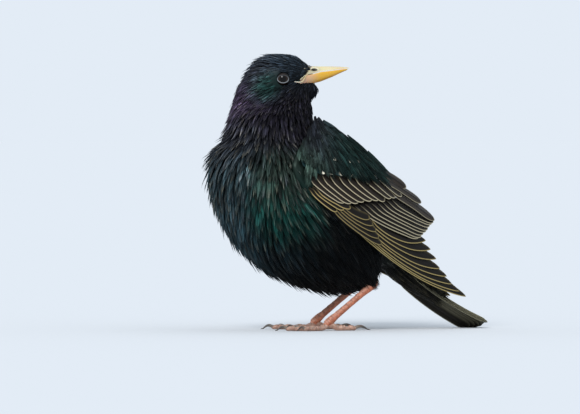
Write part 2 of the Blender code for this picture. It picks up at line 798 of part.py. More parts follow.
def wing_vanes(hand):
    vanes = []
    for count, root_a, root_b, tip_a, tip_b, halves, lifts in WING_TIERS.values():
        for i in range(count):
            share = i / max(count - 1, 1)
            half = halves[0] + (halves[1] - halves[0]) * share
            lift = lifts[0] + (lifts[1] - lifts[0]) * share
            root, tip = blend(root_a, root_b, share), blend(tip_a, tip_b, share)
            vanes.append(wing_vane(root, tip, half, lift, hand))
    return vanes


def wing_base(name, hand):
    """The folded arm and hand: a shell over the flank, from just under the sheet inwards."""
    rings = []
    for along, low, top, thick, rise in WING_BASE_OUTLINE:
        outer, inner = [], []
        for share in (0.0, 0.25, 0.5, 0.75, 1.0):
            across = low + (top - low) * share
            normal = wing_normal(along, across, hand)
            point = wing_sheet(along, across, hand)
            over = min(rise, 0.0) - 0.4 if share in (0.0, 1.0) else rise
            outer.append(point + normal * over)
            inner.append(point + normal * (over - thick))
        rings.append(outer + inner[::-1])
    points, faces = lofted(rings)
    return facing_out(mesh_object(name, points, faces, wing_plumage()))


def make_wing(name, hand):
    wing = wing_base(name, hand)
    boolean(wing, "UNION", wing_vanes(hand))
    boolean(wing, "DIFFERENCE", [skin_object("skin_cut", BODY_VOXEL, plumage(), SKIN_CLEARANCE)])
    return wing


# Tail: twelve feathers on one bend that brings their tips down to the floor

TAIL_ROOT = np.array([47.0, 0.0, 36.0])
TAIL_DIP_ROOT = math.radians(43.0)
TAIL_DIP_TIP = math.radians(21.5)
TAIL_ROLL = math.radians(-16.0)  # the left edge is turned up, so that some of the underside shows
TAIL_PAIRS = 6
TAIL_THICK = 0.55
TAIL_LAYER = 0.8  # from one pair down to the next
TAIL_HALF = 3.9  # half width of one tail feather
TAIL_BODY = (
    # along, half width, up and down of the fleshy root and the body of the coverts
    (-6, 9.0, 7, 9.0),
    (4, 9.0, 5, 9.0),
    (12, 8.5, 3, 8.0),
    (22, 7.0, 1, 6.0),
    (30, 5.0, 0, 4.5),
)
TAIL_BODY_SIDES = 12


def tail_point(along, side, up):
    """A place in the tail: along its bend, then across and above it, with the tail's roll."""
    bend = (TAIL_DIP_ROOT - TAIL_DIP_TIP) / TAIL_LENGTH
    dip = TAIL_DIP_ROOT - bend * along
    place = TAIL_ROOT + np.array(
        [
            (math.sin(TAIL_DIP_ROOT) - math.sin(dip)) / bend,
            0.0,
            -(math.cos(dip) - math.cos(TAIL_DIP_ROOT)) / bend,
        ]
    )
    above = np.array([math.sin(dip), 0.0, math.cos(dip)])
    across = np.array([0.0, 1.0, 0.0])
    rolled = across * math.cos(TAIL_ROLL) + above * math.sin(TAIL_ROLL)
    over = above * math.cos(TAIL_ROLL) - across * math.sin(TAIL_ROLL)
    return place + rolled * side + over * up


def tail_vane(side, start, length, spread_degrees, up_start, up_end, half):
    """One feather from its root, turned out by spread and sloping from up_start to up_end."""
    turn = math.radians(spread_degrees)
    path, normals = [], []
    for share in VANE_SHARES + (1.0,):
        along = start + length * share * math.cos(turn)
        out = side + length * share * math.sin(turn)
        up = up_start + (up_end - up_start) * share
        path.append(tail_point(along, out, up))
        normals.append(tail_point(along, out, up + 1.0) - path[-1])
    halves = [half * w for w in (0.5, 0.8, 0.95, 1.0)] + [0.0]
    rings = vane_rings(path, normals, halves, [TAIL_THICK] * 5)
    points, faces = lofted(rings[:-1], path[-1])
    return facing_out(mesh_object("vane", points, faces, wing_plumage()))


def tail_vanes():
    vanes = []
    for hand in (-1, 1):
        for pair in range(TAIL_PAIRS):
            side = hand * (0.4 + 0.75 * pair)
            spread = hand * (0.2 + 0.5 * pair)
            length = TAIL_LENGTH - 1.6 + 0.9 * math.sin(pair) - 0.03 * pair**3
            layer = -TAIL_LAYER * (pair + 0.5 * (hand > 0))
            vanes.append(tail_vane(side, 0.0, length, spread, layer, layer, TAIL_HALF))
    for place in (-1.0, 0.0, 1.0):
        low, high = 3.8 - abs(place), 1.3 - 0.4 * abs(place)
        vanes.append(tail_vane(place * 4.0, 3.0, 24.0, place * 5, low, high, 4.4))
        vanes.append(tail_vane(place * 4.0, -1.0, 34.0 - 5 * abs(place), place * 5, -8.0, -5.2, 4.6))
    return vanes


def make_tail():
    rings = []
    for along, half, up, down in TAIL_BODY:
        ring = []
        for i in range(TAIL_BODY_SIDES):
            turn = 2 * math.pi * i / TAIL_BODY_SIDES
            reach = up if math.sin(turn) > 0 else down
            ring.append(tail_point(along, half * math.cos(turn), reach * math.sin(turn)))
        rings.append(ring)
    points, faces = lofted(rings)
    tail = facing_out(mesh_object("tail", points, faces, wing_plumage()))
    boolean(tail, "UNION", tail_vanes())
    boolean(tail, "DIFFERENCE", [skin_object("skin_cut", BODY_VOXEL, plumage(), SKIN_CLEARANCE)])
    cut_by_plane(tail, [0, 0, FLOOR], [0, 0, -1])
    return tail


# Legs, feet and claws

LEGS = {
    "left": {
        "knee": np.array([15.0, -13.0, 47.0]),
        "ankle": np.array([26.4, -14.0, 24.9]),
        "heading": 174.0,
    },
    "right": {
        "knee": np.array([18.0, 13.0, 47.0]),
        "ankle": np.array([31.0, 13.5, 24.9]),
        "heading": 170.0,
    },
}
FOOT_HEIGHT = 4.8
for LEG in LEGS.values():
    LEVEL = math.sqrt(TARSUS_LENGTH**2 - (LEG["ankle"][2] - FOOT_HEIGHT) ** 2)
    LEG["foot"] = np.array([LEG["ankle"][0] - LEVEL, LEG["ankle"][1], FOOT_HEIGHT])
# name: turn from straight ahead (outwards positive), toe length, claw length, toe radius
TOES = {
    "inner": (-24.0, 16.0, 6.0, 1.3),
    "middle": (0.0, 24.0, 7.0, 1.45),
    "outer": (22.0, 17.5, 6.0, 1.3),
    "hind": (178.0, 14.5, 9.0, 1.6),
}
TOE_HEIGHT = 1.15
SHANK_RADII = (2.5, 2.0, 1.55, 1.5, 1.7, 2.1)
SHANK_SHARES = (0.0, 0.12, 0.35, 0.65, 0.88, 1.0)
SHANK_DEPTH = 1.15  # a shank is this much deeper than wide
SHIN_END = 2.6  # the shin's feathers stop this far above the ankle
SHIN_RADII = (9.6, 8.4, 6.4, 4.0, 2.7)
SHIN_SHARES = (0.0, 0.35, 0.65, 0.9, 1.0)
CLAW_STEPS = 6


def make_thigh(name, leg):
    """The feathered shin, from inside the flank to just above the ankle."""
    knee, ankle = leg["knee"], leg["ankle"]
    end = ankle - unit(ankle - knee) * SHIN_END
    path = [knee + (end - knee) * share for share in SHIN_SHARES]
    points, faces = lofted(tube(path, SHIN_RADII, sides=10, flatten=0.85))
    thigh = facing_out(mesh_object(name, points, faces, plumage()))
    boolean(thigh, "DIFFERENCE", [skin_object("skin_cut", BODY_VOXEL, plumage(), SKIN_CLEARANCE)])
    return thigh


def make_shank(name, leg):
    """The bare shank with its ankle joint, from the shin's feathers to the toes."""
    knee, ankle, foot = leg["knee"], leg["ankle"], leg["foot"]
    above = unit(ankle - knee)
    way = unit(foot - ankle)
    path = [ankle + (foot - ankle) * share for share in SHANK_SHARES]
    points, faces = lofted(tube(path, SHANK_RADII, flatten=SHANK_DEPTH))
    shank = facing_out(mesh_object(name, points, faces, leg_skin()))
    joint = [ankle - above * 5.0, ankle - above * 1.0, ankle + above * 1.6, ankle + above * 2.6]
    points, faces = lofted(tube(joint, (2.4, 2.6, 2.3, 1.2)))
    boolean(shank, "UNION", [facing_out(mesh_object("joint", points, faces, leg_skin()))])
    cut_by_plane(shank, ankle - above * (SHIN_END - GAP), -above)
    cut_by_plane(shank, foot - way * GAP, way)
    return shank


def toe_way(leg, turn_degrees, hand):
    heading = math.radians(leg["heading"] - hand * turn_degrees)
    return np.array([math.cos(heading), math.sin(heading), 0.0])


def make_foot(name, leg, hand):
    """Four toes fused at the joint, flat on the floor."""
    foot = leg["foot"]
    way = unit(foot - leg["ankle"])
    path = [foot - way * 0.6, foot + way * 1.6, foot + way * 3.6]
    points, faces = lofted(tube(path, (2.1, 2.3, 1.5), flatten=SHANK_DEPTH))
    base = facing_out(mesh_object(name, points, faces, leg_skin()))
    pieces = []
    for toe, (turn, length, _, radius) in TOES.items():
        out = toe_way(leg, turn, hand)
        joints = 4 if toe == "middle" else 3
        start = foot + way * 2.2
        path, radii = [], []
        for i in range(2 * joints + 1):
            share = i / (2 * joints)
            drop = max(0.0, 1.0 - share * length / 5.0)
            height = TOE_HEIGHT + (start[2] - TOE_HEIGHT) * drop
            path.append(np.array([foot[0], foot[1], 0.0]) + out * length * share + UP * height)
            radii.append(radius * (1.1 if i % 2 else 0.92) * (1.0 - 0.22 * share))
        points, faces = lofted(tube(path, radii, sides=5, across=np.cross(out, UP)))
        pieces.append(facing_out(mesh_object("toe", points, faces, leg_skin())))
    boolean(base, "UNION", pieces)
    room = SHANK_RADII[-1] + GAP * 1.5
    points, faces = lofted(tube([foot, foot - way * 9.0], (room, room + 1.0), flatten=SHANK_DEPTH))
    boolean(base, "DIFFERENCE", [facing_out(mesh_object("shank_cut", points, faces, leg_skin()))])
    cut_by_plane(base, [0, 0, FLOOR], [0, 0, -1])
    return base


def make_claws(side, leg, hand):
    for toe, (turn, length, claw, radius) in TOES.items():
        out = toe_way(leg, turn, hand)
        root = np.array([leg["foot"][0], leg["foot"][1], 0.0]) + out * (length + GAP)
        start = root - out
        path, radii = [], []
        for i in range(CLAW_STEPS):
            share = i / (CLAW_STEPS - 1)
            height = TOE_HEIGHT + 1.2 * math.sin(math.pi * min(1.0, share * 1.25)) - 0.85 * share**2
            path.append(start + out * claw * share + UP * height)
            radii.append(radius * 0.62 * (1 - share) ** 0.75 + 0.12)
        points, faces = lofted(tube(path, radii, sides=5, across=np.cross(out, UP)))
        name = f"claw_{side}_{toe}"
        made = mesh_object(name, points, faces, material("claw", (0.05, 0.035, 0.03), 0.4))
        cut_by_plane(facing_out(made), root, -out)


def clear_scene():
    for obj in list(bpy.data.objects):
        bpy.data.objects.remove(obj)


def centre_on_floor(objects):
    """Moves the whole bird so that the middle of its box is over the origin."""
    low = np.min([points_of(o).min(axis=0) for o in objects], axis=0)
    high = np.max([points_of(o).max(axis=0) for o in objects], axis=0)
    shift = np.array([(low[0] + high[0]) / 2, (low[1] + high[1]) / 2, low[2]])
    for obj in objects:
        set_points(obj, points_of(obj) - shift)


def main():
    clear_scene()
    make_torso()
    make_neck()
    make_head()
    make_bill()
    for side, hand in (("left", -1), ("right", 1)):
        eye_ball("eye_" + side, hand, EYE_RADIUS)
        make_wing("wing_" + side, hand)
        make_thigh("thigh_" + side, LEGS[side])
        make_shank("shank_" + side, LEGS[side])
        make_foot("foot_" + side, LEGS[side], hand)
        make_claws(side, LEGS[side], hand)
    make_tail()
    objects = list(bpy.context.scene.objects)
    centre_on_floor(objects)
    for obj in objects:
        keep_largest(obj)
        finish_object(obj)


main()
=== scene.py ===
# %% [markdown]
# A common starling in glossy breeding plumage, as a life-size museum model.
# The bird stands on the floor with its head turned back over one shoulder.
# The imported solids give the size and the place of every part. This lesson dresses them: a skin
# replaces the flesh, feathers are laid on it one by one, and the bill, eyes and legs are made finer.

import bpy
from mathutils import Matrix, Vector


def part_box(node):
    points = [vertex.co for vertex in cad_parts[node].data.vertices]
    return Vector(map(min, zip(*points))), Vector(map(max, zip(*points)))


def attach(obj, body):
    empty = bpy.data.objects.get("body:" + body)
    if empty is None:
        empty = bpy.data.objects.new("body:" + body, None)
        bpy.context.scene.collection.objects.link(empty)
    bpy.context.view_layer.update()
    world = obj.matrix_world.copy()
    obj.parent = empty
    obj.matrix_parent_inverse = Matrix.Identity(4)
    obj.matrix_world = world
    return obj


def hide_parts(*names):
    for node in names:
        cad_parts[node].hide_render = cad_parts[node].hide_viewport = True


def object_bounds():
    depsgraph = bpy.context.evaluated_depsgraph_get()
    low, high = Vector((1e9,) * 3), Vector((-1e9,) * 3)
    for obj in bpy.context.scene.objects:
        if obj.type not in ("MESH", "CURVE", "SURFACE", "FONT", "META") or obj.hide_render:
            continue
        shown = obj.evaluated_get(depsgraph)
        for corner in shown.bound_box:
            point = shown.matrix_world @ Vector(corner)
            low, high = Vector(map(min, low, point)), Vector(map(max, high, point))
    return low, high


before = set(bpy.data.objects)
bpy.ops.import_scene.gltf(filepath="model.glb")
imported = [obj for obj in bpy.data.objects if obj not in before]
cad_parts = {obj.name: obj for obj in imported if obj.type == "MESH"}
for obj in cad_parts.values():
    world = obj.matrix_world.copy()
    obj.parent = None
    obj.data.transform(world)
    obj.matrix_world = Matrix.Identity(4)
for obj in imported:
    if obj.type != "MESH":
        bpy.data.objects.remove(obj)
SOLIDS_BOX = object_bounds()
print("solids:", len(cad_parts), "nodes")

# %% [markdown]
# Shapes are worked out in millimetres, in the bird's own axes: it faces -X, its left side is -Y and the
# floor is at z = 0. One function turns millimetres into Blender's metres, so no other line has to.
# The solids were centred over the origin after they were made. The right eye is the same in both, so
# the distance between its two places gives that move.

# %% Sizes that everything else follows
import math

import bmesh
import bpy
import numpy as np
from mathutils import Matrix, Vector

MM = 0.001
UP = np.array([0.0, 0.0, 1.0])
HEAD_TURN_DEGREES = 156.0  # the head's heading, from the body's, over the left shoulder
HEAD_PLACE = np.array([-20.5, 0.0, 132.5])
TURN = math.radians(HEAD_TURN_DEGREES)
HEAD_FORWARD = np.array([-math.cos(TURN), -math.sin(TURN), 0.0])
HEAD_SIDE = np.cross(HEAD_FORWARD, UP)
EYE_RADIUS = 3.9
EYE_FORWARD = 0.2
EYE_UP = 0.5
EYE_DEPTH = 2.5  # from the cheek in to the middle of the eye
BODY_BLEND = 3.0  # how softly the masses of the body run into each other
HEAD_BLEND = 1.5  # the same among those of the head, which keeps the face slim
KNEES = {"left": np.array([15.0, -13.0, 47.0]), "right": np.array([18.0, 13.0, 47.0])}
ANKLES = {"left": np.array([26.4, -14.0, 24.9]), "right": np.array([31.0, 13.5, 24.9])}
HANDS = {"left": -1, "right": 1}


def unit(vectors):
    """Vectors made one long, for one vector or an array of them."""
    vectors = np.asarray(vectors, float)
    return vectors / np.maximum(np.linalg.norm(vectors, axis=-1, keepdims=True), 1e-12)


def head_point(forward, side, up):
    """A place in the head's own frame: along the bill, towards the right cheek, and up."""
    return HEAD_PLACE + forward * HEAD_FORWARD + side * HEAD_SIDE + up * UP


def smooth_step(low, high, value):
    """0 below low, 1 above high, and an even S between them."""
    share = np.clip((np.asarray(value, float) - low) / (high - low), 0.0, 1.0)
    return share * share * (3.0 - 2.0 * share)


# %% [markdown]
# Under its feathers a bird is a few rounded masses: skull, neck, crop, keel, belly, back and thighs.
# A sculpt could follow them by eye. Here each mass is an ellipsoid, and a soft minimum of their
# distances joins them, so one function tells how far any point lies from the skin. The feathers can then
# find their roots and follow the body without ever looking at a mesh.

# %% The masses of the body
HEAD_TURN = math.degrees(math.atan2(HEAD_FORWARD[1], HEAD_FORWARD[0]))
HEAD_MASSES = [
    # centre, half sizes (length, width, depth), pitch and turn in degrees
    (head_point(-3.0, 0.0, 0.8), (15.6, 9.8, 12.2), -8.0, HEAD_TURN),  # skull
    (head_point(4.5, 0.0, 4.0), (12.6, 4.4, 8.6), 22.0, HEAD_TURN),  # forehead
    (head_point(7.5, 0.0, -1.0), (7.5, 2.4, 6.0), 0.0, HEAD_TURN),  # face
    (head_point(12.0, 0.0, -6.0), (7.6, 2.4, 4.4), -12.0, HEAD_TURN),  # chin
    (head_point(5.4, 0.0, -14.5), (9.8, 7.6, 9.8), 0.0, HEAD_TURN),  # throat
    (head_point(-10.0, 0.0, -13.0), (14.8, 12.5, 18.4), 0.0, HEAD_TURN),  # nape
]
BODY_MASSES = [
    ((-28.0, 0.0, 108.0), (21.0, 19.0, 17.0), 0.0, 0.0),  # neck
    ((-32.0, 0.0, 84.0), (27.0, 27.0, 24.0), 0.0, 0.0),  # crop
    ((-18.0, 0.0, 63.0), (42.0, 29.0, 31.0), 38.0, 0.0),  # breast
    ((2.0, 0.0, 50.0), (34.0, 27.0, 26.0), 34.0, 0.0),  # belly
    ((7.0, 0.0, 84.0), (32.0, 23.0, 19.0), 44.0, 0.0),  # mantle
    ((34.0, 0.0, 51.0), (30.0, 16.0, 16.0), 36.0, 0.0),  # rump
]
for SIDE, KNEE in KNEES.items():
    SHIN = ANKLES[SIDE] - KNEE
    PITCH = math.degrees(math.atan2(-SHIN[2], SHIN[0]))
    BODY_MASSES.append((KNEE + SHIN * 0.25, (11.0, 7.6, 7.6), PITCH, 0.0))
    BODY_MASSES.append((KNEE + SHIN * 0.58, (9.5, 4.2, 4.2), PITCH, 0.0))


def tilted(pitch_degrees, turn_degrees):
    """The axes of a mass: its length tipped down by pitch, then turned about the vertical."""
    pitch, turn = math.radians(pitch_degrees), math.radians(turn_degrees)
    return np.array(Matrix.Rotation(turn, 3, "Z") @ Matrix.Rotation(pitch, 3, "Y"))


MASSES = HEAD_MASSES + BODY_MASSES
CENTRES = np.array([mass[0] for mass in MASSES])
HALVES = np.array([mass[1] for mass in MASSES])
AXES = np.array([tilted(mass[2], mass[3]) for mass in MASSES])


def soft_minimum(rows, blend):
    """The smallest of the rows, rounded where two are nearly equal."""
    low = rows.min(axis=0)
    return low - blend * np.log(np.exp(-(rows - low) / blend).sum(axis=0))


def skin_distance(points):
    """About how far each point lies outside the skin, for an array of any shape that ends in 3."""
    points = np.asarray(points, float)
    rows = []
    for centre, half, axes in zip(CENTRES, HALVES, AXES):
        local = ((points - centre) @ axes) / half
        reach = np.linalg.norm(local, axis=-1)
        rows.append(reach * (reach - 1.0) / np.maximum(np.linalg.norm(local / half, axis=-1), 1e-9))
    head = soft_minimum(np.array(rows[: len(HEAD_MASSES)]), HEAD_BLEND)
    return soft_minimum(np.array([head] + rows[len(HEAD_MASSES) :]), BODY_BLEND)


def skin_slope(points, step=0.2):
    """The direction in which the distance grows fastest."""
    points = np.asarray(points, float)
    return np.stack(
        [skin_distance(points + s) - skin_distance(points - s) for s in np.eye(3) * step], axis=-1
    ) / (2.0 * step)


def onto_skin(points, lift=0.0, rounds=5):
    """Moves points along the slope until they lie lift outside the skin."""
    points = np.array(points, float)
    for _ in range(rounds):
        slope = skin_slope(points)
        wrong = skin_distance(points) - lift
        points -= slope * (wrong / np.maximum((slope**2).sum(axis=-1), 1e-6))[..., None]
    return points


def skin_along(start, direction, reach=30.0):
    """The last place where a ray from inside leaves the skin."""
    along = np.linspace(0.0, reach, 1200)
    points = start + along[:, None] * unit(direction)
    return points[np.where(skin_distance(points) < 0)[0][-1]]


def cheek_point(forward, up, cheek):
    """Where the skin of one cheek is: cheek is 1 on the bird's right and -1 on its left."""
    return skin_along(head_point(forward, 0.0, up), cheek * HEAD_SIDE)


EYE_PLACES = {
    side: cheek_point(EYE_FORWARD, EYE_UP, hand) - hand * HEAD_SIDE * EYE_DEPTH
    for side, hand in HANDS.items()
}
EYE_LOW, EYE_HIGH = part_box("eye_right")
ORIGIN = EYE_PLACES["right"] - np.array((EYE_LOW + EYE_HIGH) / 2) / MM
ORIGIN[1:] = 0.0
print("the solids were moved by", np.round(-ORIGIN, 2), "mm")

# %% [markdown]
# Every piece ends as one mesh built from arrays: points, triangles, a colour at each point and the map
# that the finished piece is painted through. Filling Blender's arrays in one go keeps hundreds of
# thousands of barbs quick. The colour sits in an attribute that the materials read.

# %% Tools for meshes and colours
PAINT_MAP = "OFBake"


def linear(hex_colour):
    """An sRGB hex colour as the linear values that shaders use."""
    values = np.array([int(hex_colour[i : i + 2], 16) for i in (1, 3, 5)]) / 255.0
    return np.where(values <= 0.04045, values / 12.92, ((values + 0.055) / 1.055) ** 2.4)


def mixed(first, second, share):
    """Colours or other rows mixed by a share for each row."""
    share = np.asarray(share, float)[..., None]
    return np.asarray(first) * (1.0 - share) + np.asarray(second) * share


def piece_mesh(name, points, faces, colours, paint):
    """A new object from arrays in millimetres, riding on the bird's only body."""
    mesh = bpy.data.meshes.new(name)
    points, faces = np.asarray(points, float), np.asarray(faces, np.int32)
    corners = faces.shape[1]
    mesh.vertices.add(len(points))
    mesh.vertices.foreach_set("co", ((points - ORIGIN) * MM).ravel())
    mesh.loops.add(faces.size)
    mesh.loops.foreach_set("vertex_index", faces.ravel())
    mesh.polygons.add(len(faces))
    mesh.polygons.foreach_set("loop_start", np.arange(0, faces.size, corners, dtype=np.int32))
    mesh.update(calc_edges=True)
    mesh.shade_smooth()
    layer = mesh.attributes.new("coat_colour", "FLOAT_COLOR", "POINT")
    layer.data.foreach_set("color", np.c_[colours, np.ones(len(points))].astype(np.float32).ravel())
    chart = mesh.uv_layers.new(name=PAINT_MAP)
    chart.data.foreach_set("uv", np.asarray(paint, np.float32)[faces.ravel()].ravel())
    made = bpy.data.objects.new(name, mesh)
    bpy.context.scene.collection.objects.link(made)
    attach(made, "root")
    return made


def swept_faces(rows, sides):
    """Faces between closed rings that follow each other."""
    faces = []
    for i in range(rows - 1):
        for j in range(sides):
            a, b = i * sides + j, i * sides + (j + 1) % sides
            faces += [(a, b, b + sides), (a, b + sides, a + sides)]
    return faces


def tube_faces(rows, sides):
    """The same with a flat end on the first and the last ring."""
    last = (rows - 1) * sides
    faces = swept_faces(rows, sides)
    faces += [(0, j + 1, j) for j in range(1, sides - 1)]
    faces += [(last, last + j, last + j + 1) for j in range(1, sides - 1)]
    return np.array(faces)


def unfolded(points, centre):
    """An unwrap of a rounded form: directions from its middle, laid out on an unfolded octahedron."""
    way = unit(np.asarray(points) - centre)
    way = way / np.abs(way).sum(axis=-1, keepdims=True)
    flat = way[..., :2].copy()
    signs = np.where(flat >= 0, 1.0, -1.0)
    below = way[..., 2:3] < 0
    flat = np.where(below, (1.0 - np.abs(flat[..., ::-1])) * signs, flat)
    return 0.02 + 0.96 * (flat * 0.5 + 0.5)


# %% [markdown]
# The camera comes next, so that each later piece can be judged in its place. A songbird is
# photographed from several metres away with a very long lens, which hardly bends its proportions. The
# lens is worked out from the width of the picture at the bird: 0.53 mm to a pixel.

# %% Camera
PICTURE_WIDTH, PICTURE_HEIGHT = 580, 414
MM_PER_PIXEL = 0.53
CAMERA_AZIMUTH_DEGREES = -24.0
CAMERA_ELEVATION_DEGREES = 0.9
CAMERA_DISTANCE = 4000.0
SENSOR_WIDTH = 36.0
FLOOR_ROW = 330.0  # the row of the picture where the toes rest
MIDDLE_COLUMN = 318.0  # the column of the bird's own middle axis

azimuth, elevation = math.radians(CAMERA_AZIMUTH_DEGREES), math.radians(CAMERA_ELEVATION_DEGREES)
back = np.array([math.sin(azimuth) * math.cos(elevation), -math.cos(azimuth) * math.cos(elevation),
                 math.sin(elevation)])
right = np.array([math.cos(azimuth), math.sin(azimuth), 0.0])
aim = (
    right * (PICTURE_WIDTH / 2 - MIDDLE_COLUMN) * MM_PER_PIXEL
    + UP * (FLOOR_ROW - PICTURE_HEIGHT / 2) * MM_PER_PIXEL
)
lens = bpy.data.cameras.new("long_lens")
lens.sensor_width = SENSOR_WIDTH
lens.lens = SENSOR_WIDTH * CAMERA_DISTANCE / (PICTURE_WIDTH * MM_PER_PIXEL)
lens.clip_end = 50.0
camera = bpy.data.objects.new("camera", lens)
bpy.context.scene.collection.objects.link(camera)
camera.location = (aim + back * CAMERA_DISTANCE - ORIGIN) * MM
camera.rotation_euler = Vector(back).to_track_quat("Z", "Y").to_euler()
bpy.context.scene.camera = camera
print("lens:", round(lens.lens), "mm")

# %% [markdown]
# The skin is never seen bare on a bird, but it closes the gaps between feathers and gives them dark
# depth. It is voxel remeshed from the masses and then snapped onto the distance function, a coat's
# depth inside the solids. It replaces every node of flesh, so no seam shows where they were parted.

# %% Skin
COAT_DEPTH_HEAD = 0.9
COAT_DEPTH_BODY = 1.7
SKIN_VOXEL = 1.5


def coat_depth(points):
    """How far the skin lies inside the solids: least on the face."""
    share = smooth_step(104.0, 126.0, np.asarray(points)[..., 2])
    return COAT_DEPTH_BODY + (COAT_DEPTH_HEAD - COAT_DEPTH_BODY) * share


def make_skin_mesh():
    """Points and triangles of the skin."""
    shell = bmesh.new()
    for centre, half, axes in zip(CENTRES, HALVES, AXES):
        place = Matrix.Translation(Vector(centre)) @ Matrix(axes.tolist()).to_4x4()
        bmesh.ops.create_icosphere(
            shell, subdivisions=4, radius=1.0, matrix=place @ Matrix.Diagonal((*half, 1.0))
        )
    mesh = bpy.data.meshes.new("masses")
    shell.to_mesh(mesh)
    shell.free()
    holder = bpy.data.objects.new("masses", mesh)
    bpy.context.scene.collection.objects.link(holder)
    remesh = holder.modifiers.new("remesh", "REMESH")
    remesh.mode = "VOXEL"
    remesh.voxel_size = SKIN_VOXEL
    graph = bpy.context.evaluated_depsgraph_get()
    made = holder.evaluated_get(graph).to_mesh()
    made.calc_loop_triangles()
    points = np.empty(len(made.vertices) * 3)
    made.vertices.foreach_get("co", points)
    faces = np.empty(len(made.loop_triangles) * 3, np.int32)
    made.loop_triangles.foreach_get("vertices", faces)
    bpy.data.objects.remove(holder)
    points = points.reshape(-1, 3)
    return onto_skin(points, lift=-coat_depth(points), rounds=4), faces.reshape(-1, 3)


SKIN_POINTS, SKIN_FACES = make_skin_mesh()
print("skin:", len(SKIN_FACES), "triangles")

# %% [markdown]
# Starling feathers are black with a metallic gloss, and the gloss has a colour of its own on each part:
# purple on the nape, green on the cheek and shoulder, teal on the breast, blue-black on the belly. On the
# crown and on the front of the ruff and the breast the gloss is also painted blue-grey: painted sheen of
# the pale sky. Each region is a soft blob in space with its colour, and a point takes the blend of the
# blobs around it. The skin and every feather ask this one function, so they carry the same markings.
# region is a soft blob in space with its colour, and a point takes the blend of the blobs around it. The
# skin and every feather ask this one function, so they carry the same markings.

# %% Markings of the plumage
GLOSS_BLOBS = [
    # middle, reach in mm, colour
    # Glossy black with painted sheen: the blue-grey of the forehead, crown and rear of the crown stands for
    # sky light on the gloss.
    (head_point(4.0, 0.0, 12.0), 13.0, "#303b45"),  # forehead and crown
    (head_point(-11.0, 0.0, 5.0), 11.0, "#2c3039"),  # rear of the crown
    (head_point(-14.0, 0.0, -10.0), 12.0, "#413349"),  # nape
    (head_point(-6.0, 11.0, -1.5), 6.0, "#174238"),  # right cheek
    (head_point(-6.0, -11.0, -1.5), 6.0, "#174238"),  # left cheek
    (head_point(8.0, 0.0, 2.0), 7.0, "#050607"),  # lores
    (head_point(8.0, 0.0, -12.0), 11.0, "#121018"),  # throat
    (np.array([-22.0, 0.0, 106.0]), 17.0, "#1d1b24"),  # neck
    # Glossy black with painted sheen: the grey of the ruff's front stands for sky light on the gloss.
    (np.array([-48.0, 0.0, 104.0]), 13.0, "#2c2e36"),  # ruff at the front
    (np.array([-52.0, 0.0, 84.0]), 17.0, "#2a3b40"),  # upper breast
    (np.array([-30.0, -26.0, 86.0]), 13.0, "#2d3b34"),  # side of the breast, left
    (np.array([-30.0, 26.0, 86.0]), 13.0, "#2d3b34"),  # side of the breast, right
    (np.array([-34.0, -28.0, 70.0]), 13.0, "#11443d"),  # teal flank, left
    (np.array([-34.0, 28.0, 70.0]), 13.0, "#11443d"),  # teal flank, right
    # Glossy black with painted sheen: the blue-grey of the breast's front stands for sky light on the gloss.
    (np.array([-54.0, 0.0, 60.0]), 16.0, "#22353c"),  # front of the breast
    (np.array([-34.0, -24.0, 46.0]), 15.0, "#0a151a"),  # lower breast, left
    (np.array([-34.0, 24.0, 46.0]), 15.0, "#0a151a"),  # lower breast, right
    (np.array([0.0, -24.0, 50.0]), 22.0, "#06090b"),  # belly, left
    (np.array([0.0, 24.0, 50.0]), 22.0, "#06090b"),  # belly, right
    (np.array([-10.0, 0.0, 24.0]), 24.0, "#040506"),  # underside
    (np.array([8.0, 0.0, 100.0]), 18.0, "#0f201d"),  # mantle
    (np.array([30.0, 0.0, 78.0]), 18.0, "#0f1e1c"),  # back
    (np.array([50.0, 0.0, 52.0]), 18.0, "#15201d"),  # rump
    (np.array([40.0, 0.0, 28.0]), 16.0, "#14120f"),  # under the tail's root
]
BLOB_PLACES = np.array([blob[0] for blob in GLOSS_BLOBS])
BLOB_REACHES = np.array([blob[1] for blob in GLOSS_BLOBS])
BLOB_COLOURS = np.array([linear(blob[2]) for blob in GLOSS_BLOBS])
DOWN_COLOUR = linear("#060708")


def gloss_colour(points):
    """The colour of the gloss at each point."""
    away = np.linalg.norm(np.asarray(points)[:, None, :] - BLOB_PLACES, axis=-1) / BLOB_REACHES
    weight = np.exp(-1.4 * away**2) + 1e-6
    return (weight / weight.sum(axis=1, keepdims=True)) @ BLOB_COLOURS


# %% [markdown]
# Feathers all point away from the bill. On the head they stream back from it and rise a little at the
# rear of the crown. On the neck they fall like a collar, on the breast they hang and lean towards the
# tail, and on the back they run down it. One function gives that lie for any point.

# %% The lie of the feathers
BILL_ROOT = head_point(16.0, 0.0, 3.0)
HEAD_TOP_ZONE = (103.0, 120.0)  # the collar's lie gives way to the head's between these heights
LEAN_OF_FLANK = 0.95


def feather_lie(points):
    """The way feathers point at each place, before they are laid along the skin."""
    points = np.asarray(points, float)
    x, y, z = points[..., 0], points[..., 1], points[..., 2]
    head = smooth_step(*HEAD_TOP_ZONE, z)[..., None]
    stream = unit(points - BILL_ROOT)
    low_head = smooth_step(-134.0, -112.0, -z)[..., None]
    stream = unit(stream - UP * (0.05 + 0.45 * low_head))
    lean = LEAN_OF_FLANK * smooth_step(-56.0, -6.0, x) * smooth_step(-102.0, -52.0, -z)
    spread = 0.20 * smooth_step(-112.0, -92.0, -z) * np.exp(-((x + 50.0) / 22.0) ** 2)
    back = 1.9 * smooth_step(-16.0, 6.0, x) * smooth_step(52.0, 72.0, z)
    hang = np.stack([np.maximum(lean, back) - spread, 0.25 * np.sign(y) * spread, -np.ones_like(x)], axis=-1)
    return unit(stream * head + unit(hang) * (1.0 - head))


